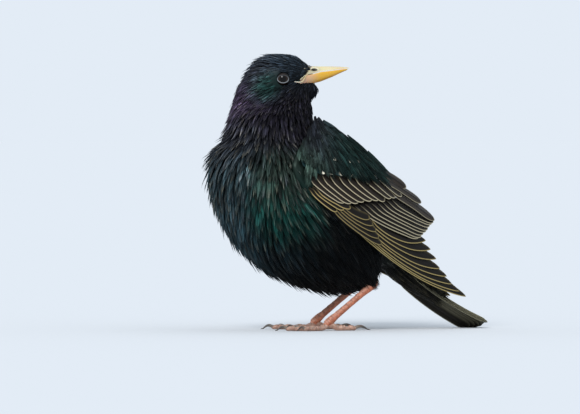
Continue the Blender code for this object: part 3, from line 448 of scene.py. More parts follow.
def grow(roots, length, lift, hang, stations=6):
    """Lays feathers along the skin from their roots. Lift and hang are given from root to tip."""
    place = np.array(roots, float)
    path, normals = [place], []
    for i in range(stations - 1):
        normal = unit(skin_slope(place))
        normals.append(normal)
        lie = feather_lie(place)
        along = unit(lie - normal * (lie * normal).sum(axis=-1, keepdims=True))
        share = i / (stations - 2)
        rise = lift[0] * (1 - share) + lift[1] * share
        fall = hang * share
        step = unit(along + normal * np.asarray(rise)[..., None] - UP * np.asarray(fall)[..., None])
        place = place + step * (np.asarray(length) / (stations - 1))[..., None]
        path.append(place)
    normals.append(unit(skin_slope(place)))
    return np.stack(path, axis=1), np.stack(normals, axis=1)


# %% [markdown]
# A body feather is too small to model barb by barb, and one flat leaf would look like a scale. Each
# feather here is a fan of a few thin, three-sided barb bundles that start together, lie side by side and
# end at different lengths, as damp feathers do. That gives the pointed, streaky hackles of a starling.

# %% Body feathers from barb bundles
BUNDLE_SHARES = np.array([0.0, 0.3, 0.62, 0.87, 1.0])  # rings along a bundle, the last is its tip
BUNDLE_WIDTHS = np.array([0.9, 1.0, 0.85, 0.5])
FAN_SHARES = np.array([0.0, 0.3, 0.6, 0.85, 1.0])
FAN_SPREADS = np.array([0.4, 0.9, 1.0, 0.72, 0.4])
PATCH = 0.003  # the size of a feather's patch on the paint map
RINGS = len(BUNDLE_SHARES) - 1
BUNDLE_POINTS = RINGS * 3 + 1


def bundle_faces():
    """Triangles of one bundle: three sides along its rings, closed at the root and at the tip."""
    faces = [(0, 1, 2)]
    for ring in range(RINGS - 1):
        for side in range(3):
            a, b = ring * 3 + side, ring * 3 + (side + 1) % 3
            faces += [(a, a + 3, b + 3), (a, b + 3, b)]
    last = (RINGS - 1) * 3
    faces += [(last + side, RINGS * 3, last + (side + 1) % 3) for side in range(3)]
    return np.array(faces)


SOLIDS_LOW, SOLIDS_HIGH = (np.array(corner) / MM + ORIGIN for corner in SOLIDS_BOX)
EDGE_ROOM = 0.1  # feathers end this far inside the box of the solids
EASE = np.array([4.0, 1.5, 0.9])  # and are drawn in over this much before it, along x, y and z


def kept_inside(points):
    """Draws feather tips gently inside the box that the solids fill."""
    low, high = SOLIDS_LOW + EDGE_ROOM + EASE, SOLIDS_HIGH - EDGE_ROOM - EASE
    points = np.where(points < low, low - EASE * (1 - np.exp(-np.maximum(low - points, 0.0) / EASE)), points)
    return np.where(points > high, high + EASE * (1 - np.exp(-np.maximum(points - high, 0.0) / EASE)), points)


def fan_of_bundles(name, path, normals, half, thick, count, root_colour, gloss, tips, tip_wear_and_sheen, chart, draws,
                   split=0.3):
    """One mesh of many feathers. Rows are feathers, and every array is worked out for all of them at once."""
    feathers, stations, _ = path.shape
    tangents = unit(np.gradient(path, axis=1))
    across = unit(np.cross(tangents, normals))
    over = unit(np.cross(across, tangents))
    roll = draws.normal(0.0, 0.18, (feathers, 1, 1))
    across = unit(across + over * roll)
    order = np.arange(count)
    offset = (2 * order + 1) / count - 1 + draws.uniform(-0.5, 0.5, (feathers, count)) / count
    reach = 1.0 - split * np.abs(offset) ** 1.4 - draws.uniform(0.0, 0.16, (feathers, count))
    share = reach[..., None] * BUNDLE_SHARES
    at = share * (stations - 1)
    low = np.minimum(at.astype(int), stations - 2)
    rest = (at - low)[..., None]
    row = np.arange(feathers)[:, None, None]

    def along(rows):
        return rows[row, low] * (1 - rest) + rows[row, low + 1] * rest

    middle, side, up = along(path), along(across), along(over)
    fan = np.interp(share, FAN_SHARES, FAN_SPREADS) * half[:, None, None]
    sway = draws.normal(0.0, 0.10, (feathers, count, 1)) * half[:, None, None] * share
    camber = -0.35 * offset[..., None] ** 2 * half[:, None, None] * np.minimum(share * 3.0, 1.0)
    middle = middle + side * (fan * offset[..., None] + sway)[..., None] + up * camber[..., None]
    width = (half[:, None] / count * 1.5)[..., None] * BUNDLE_WIDTHS
    ring_middle, ring_side, ring_up = middle[..., :RINGS, :], side[..., :RINGS, :], up[..., :RINGS, :]
    height = thick[:, None, None] * BUNDLE_WIDTHS
    rings = np.stack(
        [
            ring_middle - ring_side * width[..., None],
            ring_middle + ring_up * height[..., None],
            ring_middle + ring_side * width[..., None],
        ],
        axis=-2,
    )
    points = np.concatenate([rings.reshape(feathers, count, RINGS * 3, 3), middle[..., RINGS:, :]], axis=2)
    ring_share = np.concatenate([np.repeat(share[..., :RINGS], 3, axis=-1), share[..., RINGS:]], axis=-1)
    tone = np.exp(draws.normal(0.0, 0.30, (feathers, 1, 1)) + draws.normal(0.0, 0.42, (feathers, count, 1)))
    colour = mixed(root_colour[:, None, None, :], gloss[:, None, None, :], smooth_step(0.1, 0.5, ring_share))
    colour = colour * tone[..., None]
    # Pale tips, mixed in towards the tip: abrasion, and painted sheen on the head feathers.
    wear_and_sheen_share = tip_wear_and_sheen[:, None, None] * smooth_step(0.55, 0.95, ring_share)
    colour = mixed(colour, tips[:, None, None, :] * tone[..., None], wear_and_sheen_share)
    corner = np.stack([0.5 + 0.5 * offset[..., None] * np.ones_like(ring_share), ring_share], axis=-1)
    paint = chart[:, None, None, :] + (corner - 0.5) * PATCH
    bundles = feathers * count
    faces = (bundle_faces()[None] + np.arange(bundles)[:, None, None] * BUNDLE_POINTS).reshape(-1, 3)
    points = kept_inside(points.reshape(-1, 3))
    made = piece_mesh(name, points, faces, colour.reshape(-1, 3), paint.reshape(-1, 2))
    print(name + ":", feathers, "feathers,", len(faces), "triangles")
    return made


# %% [markdown]
# Roots are spread over the skin by throwing darts: many random places are tried, and one is kept only
# where no other root is too near. That is how follicles sit, evenly but not in a grid. The spacing is
# small on the face and wide on the belly. Roots under the folded wings would never be seen and are
# left out.

# %% Wing sheet
WRIST = np.array([-22.6, 0.0, 87.5])
WING_ALONG = unit([0.824, 0.0, -0.568])
WING_ACROSS = np.array([-WING_ALONG[2], 0.0, WING_ALONG[0]])
WING_BULGE = ((-4, 23), (20, 28), (45, 29), (70, 25), (95, 17), (126, 9))
WING_CURL = ((-16, 0.93), (-6, 1.0), (6, 1.0), (14, 0.9), (20, 0.74), (26, 0.5))
WING_OVER_SKIN = 2.4
SHEET_ALONG = np.arange(-12.0, 137.0, 2.0)
SHEET_ACROSS = np.arange(-26.0, 37.0, 1.5)
FLANK_STEPS = np.linspace(0.0, 44.0, 89)


def sheet_reach():
    """How far out from the body's middle plane the folded wing lies, on a grid along and across it."""
    along, across = np.meshgrid(SHEET_ALONG, SHEET_ACROSS, indexing="ij")
    places = WRIST + along[..., None] * WING_ALONG + across[..., None] * WING_ACROSS
    places[..., 1] = 0.0
    probes = places[..., None, :] + FLANK_STEPS[:, None] * np.array([0.0, -1.0, 0.0])
    inside = skin_distance(probes) < 0
    flank = (FLANK_STEPS * inside).max(axis=-1)
    bulge = np.interp(along, *zip(*WING_BULGE)) * np.interp(across, *zip(*WING_CURL))
    over = flank + WING_OVER_SKIN
    return np.where(over > 4, 2.0 * np.log(np.exp(bulge / 2.0) + np.exp(over / 2.0)), bulge)


SHEET_REACH = sheet_reach()


def wing_sheet(along, across, lift=0.0):
    """Points of the left wing's surface, lift above it."""
    along, across = np.broadcast_arrays(np.asarray(along, float), np.asarray(across, float))
    out = sheet_out(along, across)
    place = WRIST + along[..., None] * WING_ALONG + across[..., None] * WING_ACROSS
    place = place + out[..., None] * np.array([0.0, -1.0, 0.0])
    return place + wing_normal(along, across) * np.asarray(lift, float)[..., None]


def sheet_out(along, across):
    i = np.clip((along - SHEET_ALONG[0]) / 2.0, 0, len(SHEET_ALONG) - 1.001)
    j = np.clip((across - SHEET_ACROSS[0]) / 1.5, 0, len(SHEET_ACROSS) - 1.001)
    i0, j0 = i.astype(int), j.astype(int)
    s, t = i - i0, j - j0
    grid = SHEET_REACH
    near = grid[i0, j0] * (1 - t) + grid[i0, j0 + 1] * t
    far = grid[i0 + 1, j0] * (1 - t) + grid[i0 + 1, j0 + 1] * t
    return near * (1 - s) + far * s


def wing_normal(along, across, step=2.5):
    """The way out of the left wing's surface."""
    slope_along = (sheet_out(along + step, across) - sheet_out(along - step, across)) / (2 * step)
    slope_across = (sheet_out(along, across + step) - sheet_out(along, across - step)) / (2 * step)
    outward = np.array([0.0, -1.0, 0.0])
    normal = outward - slope_along[..., None] * WING_ALONG - slope_across[..., None] * WING_ACROSS
    return unit(normal)


def wing_place(points):
    """Where points lie along and across the folded wing."""
    offset = np.asarray(points) - WRIST
    return offset @ WING_ALONG, offset @ WING_ACROSS


def under_wing(points, margin=3.0):
    """True where the folded wing covers the flank, margin inside its rim."""
    along, across = wing_place(points)
    low = np.interp(along, (-4, 2, 12, 38, 54, 70, 90, 126), (2, -8, -11, -12, -12, -11, -8, 0))
    top = np.interp(along, (-4, 2, 12, 38, 60, 80, 104, 126), (8, 15, 21, 24, 24, 18, 4, 0))
    beside = np.abs(points[..., 1]) > 9.0
    return beside & (along > -4 + margin) & (across > low + margin) & (across < top - margin)


# %% Roots of the body feathers
DRAWS = np.random.default_rng(7)


def root_spacing(points):
    """The distance that neighbouring roots keep, in mm."""
    z = points[..., 2]
    near_bill = np.exp(-(np.linalg.norm(points - head_point(10.0, 0.0, 2.0), axis=-1) / 9.0) ** 2)
    body = 2.25 - 0.60 * smooth_step(92.0, 112.0, z) - 0.55 * smooth_step(112.0, 122.0, z)
    shins = smooth_step(-36.0, -30.0, -z) * smooth_step(4.0, 12.0, points[..., 0])
    return body - 0.30 * near_bill - 0.8 * shins


def scatter_roots(tries=140000):
    """Root places on the skin by dart throwing."""
    corners = SKIN_POINTS[SKIN_FACES]
    sizes = np.linalg.norm(np.cross(corners[:, 1] - corners[:, 0], corners[:, 2] - corners[:, 0]), axis=1)
    picked = DRAWS.choice(len(corners), tries, p=sizes / sizes.sum())
    first, second = DRAWS.random((2, tries))
    flip = first + second > 1
    first, second = np.where(flip, 1 - first, first), np.where(flip, 1 - second, second)
    corner = corners[picked]
    points = (
        corner[:, 0]
        + first[:, None] * (corner[:, 1] - corner[:, 0])
        + second[:, None] * (corner[:, 2] - corner[:, 0])
    )
    points = points[~under_wing(points)]
    spacing = root_spacing(points)
    cell = 2.4
    kept, grid = [], {}
    for index, (point, room) in enumerate(zip(points, spacing)):
        key = tuple((point // cell).astype(int))
        near = [k for dx in (-1, 0, 1) for dy in (-1, 0, 1) for dz in (-1, 0, 1)
                for k in grid.get((key[0] + dx, key[1] + dy, key[2] + dz), ())]
        if near and (((points[near] - point) ** 2).sum(axis=1) < room * room).any():
            continue
        grid.setdefault(key, []).append(index)
        kept.append(index)
    return points[kept]


ROOTS = scatter_roots()
print("roots:", len(ROOTS))

# %% [markdown]
# Each part of the bird has its own kind of feather. On the face they are a few millimetres long and lie
# flat. The rear of the crown is loose and stands up a little. The ruff and the breast carry long narrow
# hackles that stand off at their tips, and the tips of the upper breast are abraded to a greyish buff. On
# the head the pale tips are painted sheen: streaks of sky light on the gloss. The kinds are mixed softly
# from place to place, in the same way as the colours.

# %% Kinds of body feather
FEATHER_KINDS = [
    # middle, reach, length, half width, lift at root and tip, hang, pale tip: abrasion, and painted sheen on
    # the head
    (head_point(12.0, 0.0, 2.0), 6.0, 3.4, 0.42, 0.26, 0.12, 0.0, 0.0),  # round the bill
    (head_point(6.0, 0.0, 10.0), 6.0, 6.0, 0.50, 0.24, 0.16, 0.0, 0.20),  # forehead
    (head_point(-1.0, 0.0, 13.0), 5.5, 9.5, 0.62, 0.40, 0.50, 0.0, 0.35),  # top of the crown
    (head_point(-9.0, 0.0, 11.0), 6.0, 9.0, 0.66, 0.34, 0.34, 0.0, 0.30),  # rear of the crown
    (head_point(-2.0, 10.0, 1.0), 6.0, 4.6, 0.46, 0.22, 0.10, 0.0, 0.05),  # round the right eye
    (head_point(-2.0, -10.0, 1.0), 6.0, 4.6, 0.46, 0.22, 0.10, 0.0, 0.05),  # round the left eye
    (head_point(-14.0, 0.0, -8.0), 11.0, 8.5, 0.66, 0.26, 0.22, 0.0, 0.25),  # nape
    (head_point(0.0, 11.0, -12.0), 9.0, 7.0, 0.60, 0.24, 0.20, 0.0, 0.15),  # right side of the throat
    (head_point(0.0, -11.0, -12.0), 9.0, 7.0, 0.60, 0.24, 0.20, 0.0, 0.15),  # left side of the throat
    (head_point(10.0, 0.0, -12.0), 8.0, 4.6, 0.48, 0.24, 0.20, 0.0, 0.10),  # chin
    (np.array([-26.0, 0.0, 108.0]), 18.0, 12.5, 0.95, 0.34, 0.40, 0.05, 0.40),  # ruff
    (np.array([-48.0, 0.0, 98.0]), 14.0, 17.0, 1.15, 0.36, 0.50, 0.0, 0.50),  # front of the ruff
    (np.array([-36.0, 0.0, 86.0]), 22.0, 17.0, 1.20, 0.32, 0.36, 0.0, 0.85),  # upper breast
    (np.array([-40.0, 0.0, 66.0]), 22.0, 17.5, 1.30, 0.28, 0.26, 0.05, 0.40),  # breast
    (np.array([-26.0, 0.0, 42.0]), 22.0, 20.0, 1.30, 0.24, 0.16, 0.25, 0.05),  # lower breast
    (np.array([0.0, 0.0, 30.0]), 24.0, 17.5, 1.35, 0.20, 0.12, 0.42, 0.03),  # belly
    (np.array([8.0, 0.0, 98.0]), 18.0, 14.0, 1.90, 0.16, 0.08, 0.0, 0.15),  # mantle
    (np.array([34.0, 0.0, 74.0]), 20.0, 14.0, 2.00, 0.12, 0.04, 0.0, 0.10),  # back
    (np.array([44.0, 0.0, 34.0]), 18.0, 13.0, 1.60, 0.12, 0.06, 0.05, 0.25),  # vent
    (np.array([26.0, -13.0, 30.0]), 7.0, 6.5, 0.90, 0.14, 0.05, 0.0, 0.05),  # left shin
    (np.array([30.0, 13.0, 30.0]), 7.0, 6.5, 0.90, 0.14, 0.05, 0.0, 0.05),  # right shin
]
KIND_PLACES = np.array([kind[0] for kind in FEATHER_KINDS])
KIND_REACHES = np.array([kind[1] for kind in FEATHER_KINDS])
KIND_VALUES = np.array([kind[2:] for kind in FEATHER_KINDS])
WORN_BUFF = linear("#7d7766")
GREY_TIP_WEAR_AND_SHEEN = linear("#565b62")


def feather_kind(points):
    """Length, half width, lifts, hang and pale tip (abrasion, and painted sheen on the head) at each root,
    mixed from the kinds around it.
    """
    away = np.linalg.norm(points[:, None, :] - KIND_PLACES, axis=-1) / KIND_REACHES
    weight = np.exp(-1.6 * away**2) + 1e-8
    return ((weight / weight.sum(axis=1, keepdims=True)) @ KIND_VALUES).T


def clear_of_face(points):
    """False for roots inside an eye, on the bill or in the gape."""
    keep = np.ones(len(points), bool)
    for side in HANDS:
        keep &= np.linalg.norm(points - EYE_PLACES[side], axis=1) > EYE_RADIUS + 0.35
    offset = points - HEAD_PLACE
    forward, side, up = offset @ HEAD_FORWARD, offset @ HEAD_SIDE, offset[:, 2]
    on_bill = (forward > 17.0) & (up > -1.5)
    return keep & ~on_bill


def lay_coat(name, chosen, count, middle):
    """Feathers of one region, as one piece."""
    roots = chosen[clear_of_face(chosen)]
    length, half, root_lift, tip_lift, hang, wear_and_sheen_share = feather_kind(roots)
    length = length * DRAWS.uniform(0.82, 1.18, len(roots))
    tip_lift = tip_lift * DRAWS.uniform(0.3, 1.6, len(roots))
    start = roots + unit(skin_slope(roots)) * -0.4
    path, normals = grow(start, length, (root_lift, tip_lift), hang)
    gloss = gloss_colour(roots)
    gloss = gloss * np.exp(DRAWS.normal(0.0, 0.25, (len(roots), 1)))
    # Pale tips: abrasion on the breast; on the head they are painted sheen, streaks of sky light on the
    # gloss.
    tips = mixed(GREY_TIP_WEAR_AND_SHEEN, WORN_BUFF, DRAWS.random(len(roots)))
    tip_wear_and_sheen = np.clip(wear_and_sheen_share * DRAWS.uniform(0.0, 1.5, len(roots)), 0.0, 0.9)
    root_colour = np.repeat(DOWN_COLOUR[None], len(roots), axis=0)
    chart = unfolded(roots, middle)
    thick = 0.22 + 0.1 * half
    made = fan_of_bundles(name, path, normals, half, thick, count, root_colour, gloss, tips, tip_wear_and_sheen, chart,
                          DRAWS)
    return made


HEAD_MIDDLE = head_point(-2.0, 0.0, -2.0)
NECK_MIDDLE = np.array([-28.0, 0.0, 106.0])
BODY_MIDDLE = np.array([-6.0, 0.0, 64.0])
IS_HEAD = ROOTS[:, 2] > 118.0
IS_NECK = ~IS_HEAD & (ROOTS[:, 2] > 103.0)
IS_BACK = ~IS_HEAD & ~IS_NECK & (ROOTS[:, 0] > -14.0) & (ROOTS[:, 2] > 66.0)
IS_BELLY = ~IS_HEAD & ~IS_NECK & ~IS_BACK & (ROOTS[:, 2] < 52.0)
IS_BREAST = ~IS_HEAD & ~IS_NECK & ~IS_BACK & ~IS_BELLY
COAT = {
    "head_feathers": (IS_HEAD, 3, HEAD_MIDDLE),
    "ruff_hackles": (IS_NECK, 5, NECK_MIDDLE),
    "breast_hackles": (IS_BREAST, 6, BODY_MIDDLE),
    "belly_feathers": (IS_BELLY, 6, BODY_MIDDLE),
    "back_feathers": (IS_BACK, 6, BODY_MIDDLE),
}
COAT_PIECES = [lay_coat(name, ROOTS[chosen], count, middle) for name, (chosen, count, middle) in COAT.items()]

skin = piece_mesh("skin", SKIN_POINTS, SKIN_FACES,
                  mixed(DOWN_COLOUR, gloss_colour(SKIN_POINTS), 0.3 * np.ones(len(SKIN_POINTS))),
                  unfolded(SKIN_POINTS, BODY_MIDDLE))
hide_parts("torso", "neck", "head", "thigh_left", "thigh_right")

# %% [markdown]
# A black feather with a structural gloss is keratin over melanin. The melanin swallows the light that
# gets in, and stacked plates near the surface send one colour back. That is close to a dark metal seen
# through a dull varnish, so the shader is partly metallic, with the gloss colour as its base and a soft
# roughness.

# %% Finish of the body feathers


def add_node(tree, kind, links=(), **settings):
    """Adds a node. Settings name its properties or sockets, and links feed its sockets."""
    node = tree.nodes.new(kind)
    for name, value in settings.items():
        if hasattr(node, name):
            setattr(node, name, value)
        else:
            node.inputs[name.replace("_", " ")].default_value = value
    for socket, source in links:
        tree.links.new(source, node.inputs[socket])
    return node


def new_finish(name):
    """An empty material with its output, and the tree to build in."""
    finish = bpy.data.materials.new(name)
    finish.use_nodes = True
    finish.node_tree.nodes.clear()
    return finish, finish.node_tree


def close_finish(tree, shader):
    add_node(tree, "ShaderNodeOutputMaterial", [("Surface", shader.outputs[0])])


def make_gloss_keratin():
    finish, tree = new_finish("gloss_keratin_feather")
    paint = add_node(tree, "ShaderNodeAttribute", attribute_name="coat_colour")
    shader = add_node(
        tree, "ShaderNodeBsdfPrincipled", [("Base Color", paint.outputs["Color"])],
        Metallic=0.5, Roughness=0.40, IOR=1.54, Specular_IOR_Level=0.14,
    )
    close_finish(tree, shader)
    return finish


gloss_keratin = make_gloss_keratin()
for piece in [skin, *COAT_PIECES]:
    piece.data.materials.append(gloss_keratin)

# %% [markdown]
# Flight feathers and their coverts are single curved blades. Each one is a thin closed shell: a grid of
# points across the vane, a little arched, with a raised shaft, an underside just below it and the pale
# rim that a starling's wing feathers have in spring. The rim is drawn by its real width in millimetres,
# measured in from the edge, so it keeps that width on a long primary and on a short covert.

# %% One blade
BLADE_STATIONS = 20
RIM_WIDTH = 0.46  # the pale rim of a wing feather, in mm
SHAFT_HALF = 0.22
BLADE_THICK = 0.30
RIM_THICK = 0.10


def blade_shares(stations=BLADE_STATIONS):
    """Stations along a blade, closer together near its tip, where the outline turns."""
    even = np.linspace(0.0, 1.0, stations)
    return 1.0 - (1.0 - even) ** 1.6


def blade_outline(shares, tip_start, tip_power):
    """The share of its full half width that a vane has at each station."""
    root = 0.35 + 0.65 * smooth_step(0.0, 0.25, shares)
    into_tip = np.clip((shares - tip_start) / (1.0 - tip_start), 0.0, 1.0)
    return np.maximum(root * (1.0 - into_tip**tip_power) ** (1.0 / tip_power), 0.03)


def blade_columns(outer, inner):
    """Where the columns of one station lie across the vane, from the outer rim to the inner one."""
    rim = np.minimum(RIM_WIDTH, outer * 0.5)
    shaft = np.minimum(SHAFT_HALF, np.minimum(outer, inner) * 0.3)
    return np.stack(
        [-outer, -outer + 0.5 * rim, -outer + rim, -outer + 1.35 * rim, -0.45 * outer, -shaft, 0 * outer,
         shaft, 0.5 * inner, inner - 0.8 * rim, inner], axis=1)


def blade(path, normals, outer, inner, length, look, arch=0.10):
    """Points, faces and colours of one feather. Outer and inner are half widths at each station."""
    tangents = unit(np.gradient(path, axis=0))
    across = unit(np.cross(normals, tangents))
    over = unit(np.cross(tangents, across))
    columns = blade_columns(outer, inner)
    stations, count = columns.shape
    full = np.maximum(np.maximum(outer, inner).max(), 1e-6)
    bend = -arch * (columns / full) ** 2 * full
    shaft_column = count // 2 + 1
    rise = bend.copy()
    rise[:, shaft_column] += 0.14 * np.minimum(1.0, outer / outer.max())
    top = path[:, None] + across[:, None] * columns[..., None] + over[:, None] * rise[..., None]
    edge_room = np.minimum(columns + outer[:, None], inner[:, None] - columns)
    thick = RIM_THICK + (BLADE_THICK - RIM_THICK) * np.clip(edge_room / 1.0, 0.0, 1.0)
    under = top - over[:, None] * thick[..., None]
    points = np.concatenate([top.reshape(-1, 3), under.reshape(-1, 3)])
    half = stations * count
    faces = []
    for i in range(stations - 1):
        for j in range(count - 1):
            a, b = i * count + j, i * count + j + 1
            c, d = b + count, a + count
            faces += [(a, c, b), (a, d, c), (a + half, b + half, c + half), (a + half, c + half, d + half)]
    rim_loop = list(range(count)) + [i * count + count - 1 for i in range(1, stations)]
    rim_loop += (
        [(stations - 1) * count + j for j in range(count - 2, -1, -1)]
        + [i * count for i in range(stations - 2, 0, -1)]
    )
    for a, b in zip(rim_loop, rim_loop[1:] + rim_loop[:1]):
        faces += [(a, b, b + half), (a, b + half, a + half)]
    from_tip = (1.0 - blade_shares(stations))[:, None] * length * 0.8
    colours = look(columns, columns + outer[:, None], inner[:, None] - columns, from_tip, length)
    colours = colours.reshape(-1, 3)
    # Painted shade: the underside takes the top's colours darkened to 0.7.
    return points, np.array(faces), np.concatenate([colours, colours * 0.7])


# %% [markdown]
# The colours of a blade come from how far each point is from its outer rim, its tip and its shaft. A primary
# is brown-black with a straw-coloured outer rim. A greater covert has its rim round the tip as well, and a
# median covert is glossy blue-green with a white spot at its tip.

# %% Looks of the wing feathers
WING_BLACK = linear("#15120f")
WING_BROWN = linear("#2b241d")
STRAW_RIM = linear("#b9a56c")
CREAM_RIM = linear("#c3b898")
WHITE_SPOT = linear("#efe6cf")
COVERT_GLOSS = linear("#14292a")


def rim_look(body, rim, rim_strength, tip_strength, spot=0.0, shaft=WING_BLACK, inner_strength=0.1):
    """A function that colours a blade: body, pale rim, dark shaft and a spot at the tip."""

    def look(across, from_outer, from_inner, from_tip, length):
        grow_in = smooth_step(0.0, 0.25, 1.0 - from_tip / (0.8 * length))
        outer_rim = smooth_step(-1.25 * RIM_WIDTH, -0.6 * RIM_WIDTH, -from_outer) * rim_strength * grow_in
        inner_rim = smooth_step(-1.25 * RIM_WIDTH, -0.6 * RIM_WIDTH, -from_inner) * inner_strength
        tip_rim = smooth_step(-1.5 * RIM_WIDTH, -0.6 * RIM_WIDTH, -(from_tip + 0 * across)) * tip_strength
        pale = np.maximum(np.maximum(outer_rim, inner_rim), tip_rim)
        colour = mixed(body + 0 * across[..., None], rim, np.clip(pale, 0.0, 1.0))
        on_shaft = smooth_step(-2.2 * SHAFT_HALF, -SHAFT_HALF, -np.abs(across))
        colour = mixed(colour, shaft, 0.7 * on_shaft * (1 - pale))
        on_spot = smooth_step(-1.9, -1.1, -np.hypot(across, from_tip - 0.5)) * spot
        return mixed(colour, WHITE_SPOT, on_spot)

    return look


# %% [markdown]
# The folded wing is a stack of tiers. In each tier the feathers overlap like tiles, each with its
# outer edge over the next, and each tier covers the roots of the one below. Every tier is a loop
# between its first and last feather, given in millimetres along and across the wing, which is how a
# bird artist counts them: primaries, secondaries, tertials, then their coverts.

# %% Tiers of the wing
WING_TIERS = {
    "primary": dict(
        count=8, roots=((30, -8.0), (44, 2.0)), tips=((126, 1.0), (85, 10.0)), fan=2.0, sag=-5.0,
        outer=(2.0, 2.2), inner=(5.0, 4.6), lifts=((0.2, 0.8), (0.8, 1.2)), tip=(0.72, 1.6),
        look=rim_look(WING_BLACK, STRAW_RIM, 0.75, 0.35)),
    "secondary": dict(
        count=8, roots=((36, 0.0), (53, 15.0)), tips=((79.5, 8.0), (84.5, 21.0)), fan=1.0, sag=-1.2,
        outer=(2.3, 2.4), inner=(4.2, 4.2), lifts=((1.0, 1.8), (1.8, 2.4)), tip=(0.86, 2.0),
        look=rim_look(WING_BLACK, CREAM_RIM, 0.75, 0.5)),
    "tertial": dict(
        count=3, roots=((48, 18.0), (38, 23.5)), tips=((84.5, 21.5), (61, 27.0)), fan=1.0, sag=0.4,
        outer=(4.0, 3.6), inner=(4.0, 3.0), lifts=((2.6, 3.0), (3.2, 3.6)), tip=(0.74, 2.0),
        look=rim_look(WING_BROWN, CREAM_RIM, 0.45, 0.5)),
    "primary_covert": dict(
        count=5, roots=((22, -8.5), (28, -3.0)), tips=((62, -8.0), (47.5, -1.0)), fan=1.0, sag=-2.0,
        outer=(1.5, 1.7), inner=(2.6, 2.8), lifts=((1.6, 1.8), (1.8, 2.2)), tip=(0.80, 2.0),
        look=rim_look(WING_BLACK, STRAW_RIM, 0.5, 0.4)),
    "alula": dict(
        count=3, roots=((9, -8.5), (12, -6.0)), tips=((29, -9.5), (35, -3.6)), fan=1.0, sag=-0.8,
        outer=(1.5, 1.9), inner=(2.4, 2.6), lifts=((2.2, 2.4), (2.5, 2.8)), tip=(0.78, 2.0),
        look=rim_look(WING_BLACK, STRAW_RIM, 0.85, 0.6)),
    "greater_covert": dict(
        count=10, roots=((4, -2.5), (38, 21.0)), tips=((30.5, -3.2), (59, 19.0)), fan=1.0, sag=-1.0,
        outer=(2.4, 2.6), inner=(3.2, 3.4), lifts=((2.2, 2.8), (2.6, 3.2)), tip=(0.82, 2.2),
        look=rim_look(WING_BROWN * 0.7, CREAM_RIM, 0.8, 0.45)),
    "median_covert": dict(
        count=8, roots=((-3, 2.0), (27, 21.0)), tips=((9, 1.0), (40, 19.0)), fan=1.0, sag=-0.3,
        outer=(3.0, 3.2), inner=(3.0, 3.2), lifts=((2.7, 3.5), (2.9, 3.7)), tip=(0.60, 2.0),
        look=rim_look(COVERT_GLOSS, COVERT_GLOSS * 2.0, 0.3, 0.2, spot=0.95, shaft=COVERT_GLOSS * 1.6)),
    "lesser_covert": dict(
        count=7, roots=((-5, 8.0), (20, 24.0)), tips=((4, 7.0), (27, 18.5)), fan=1.0, sag=-0.2,
        outer=(2.6, 2.8), inner=(2.6, 2.8), lifts=((2.9, 3.8), (3.0, 4.0)), tip=(0.55, 2.0),
        look=rim_look(COVERT_GLOSS, COVERT_GLOSS * 2.0, 0.3, 0.2, spot=0.8, shaft=COVERT_GLOSS * 1.6)),
}
TILE_TILT_DEGREES = 13.0  # how far each blade's outer edge is turned up over its neighbour


def between(pair, share):
    first, last = np.asarray(pair[0], float), np.asarray(pair[1], float)
    return first + (last - first) * share


def wing_blade(tier, order, draws):
    """One feather of a tier, laid on the left wing's sheet."""
    share = order / (tier["count"] - 1)
    root = between(tier["roots"], share)
    tip = np.array([between(tier["tips"], share)[0], between(tier["tips"], share**tier["fan"])[1]])
    tip = tip + draws.normal(0.0, 0.25, 2)
    shares = blade_shares()
    line = root + (tip - root) * shares[:, None]
    line[:, 1] += tier["sag"] * 4.0 * shares * (1.0 - shares)
    lifts = between(tier["lifts"], share)
    lift = lifts[0] + (lifts[1] - lifts[0]) * shares
    path = wing_sheet(line[:, 0], line[:, 1], lift)
    tilt = math.radians(TILE_TILT_DEGREES + draws.normal(0.0, 1.5))
    normals = unit(wing_normal(line[:, 0], line[:, 1]) * math.cos(tilt) + WING_ACROSS * math.sin(tilt))
    outline = blade_outline(shares, *tier["tip"])
    outer, inner = between(tier["outer"], share) * outline, between(tier["inner"], share) * outline
    length = float(np.linalg.norm(np.diff(path, axis=0), axis=1).sum())
    return blade(path, normals, outer, inner, length, tier["look"])


def joined(parts):
    """Several pieces' points, faces and colours as one."""
    points, faces, colours, start = [], [], [], 0
    for part_points, part_faces, part_colours in parts:
        points.append(part_points)
        faces.append(part_faces + start)
        colours.append(part_colours)
        start += len(part_points)
    return np.concatenate(points), np.concatenate(faces), np.concatenate(colours)


def blade_chart(parts, columns=11):
    """The paint map of blades: each one unfolded into its own upright strip of the square."""
    total, charts = len(parts), []
    for number, (points, _, _) in enumerate(parts):
        half = len(points) // 2
        rows = half // columns
        u = np.tile(np.linspace(0.06, 0.46, columns), rows)
        v = np.repeat(np.linspace(0.02, 0.98, rows), columns)
        strip = np.concatenate([np.c_[u, v], np.c_[u + 0.48, v]])
        charts.append(np.c_[(number + strip[:, 0]) / total, strip[:, 1]])
    return np.concatenate(charts)


def mirrored(points, faces):
    """The same piece on the bird's other side."""
    return points * np.array([1.0, -1.0, 1.0]), faces[:, ::-1]


def make_wing_blades():
    draws = np.random.default_rng(21)
    parts = [wing_blade(tier, order, draws) for tier in WING_TIERS.values() for order in range(tier["count"])]
    points, faces, colours = joined(parts)
    chart = blade_chart(parts)
    left = piece_mesh("wing_blades_left", points, faces, colours, chart)
    right = piece_mesh("wing_blades_right", *mirrored(points, faces), colours, chart)
    print("wing:", len(parts), "blades,", len(faces), "triangles a side")
    return left, right


WING_BLADES = make_wing_blades()

# %% [markdown]
# Under the blades the folded arm closes the wing against the flank, so that its front and rim are no
# open slot. It is one closed shell between two surfaces of the wing's sheet.

# %% Folded arm
ARM_OUTLINE = (
    # along, lowest, highest, thickness, rise over the sheet
    (-4.5, -2, 8, 4.0, 0.2),
    (2, -8, 15, 6.0, 1.6),
    (12, -10, 20, 6.0, 2.0),
    (24, -11, 22, 6.0, 1.4),
    (38, -12, 21, 6.0, 0.2),
    (54, -11, 19, 4.0, -0.5),
    (68, -9, 15, 1.5, -0.8),
)
ARM_ROWS, ARM_COLUMNS = 28, 12


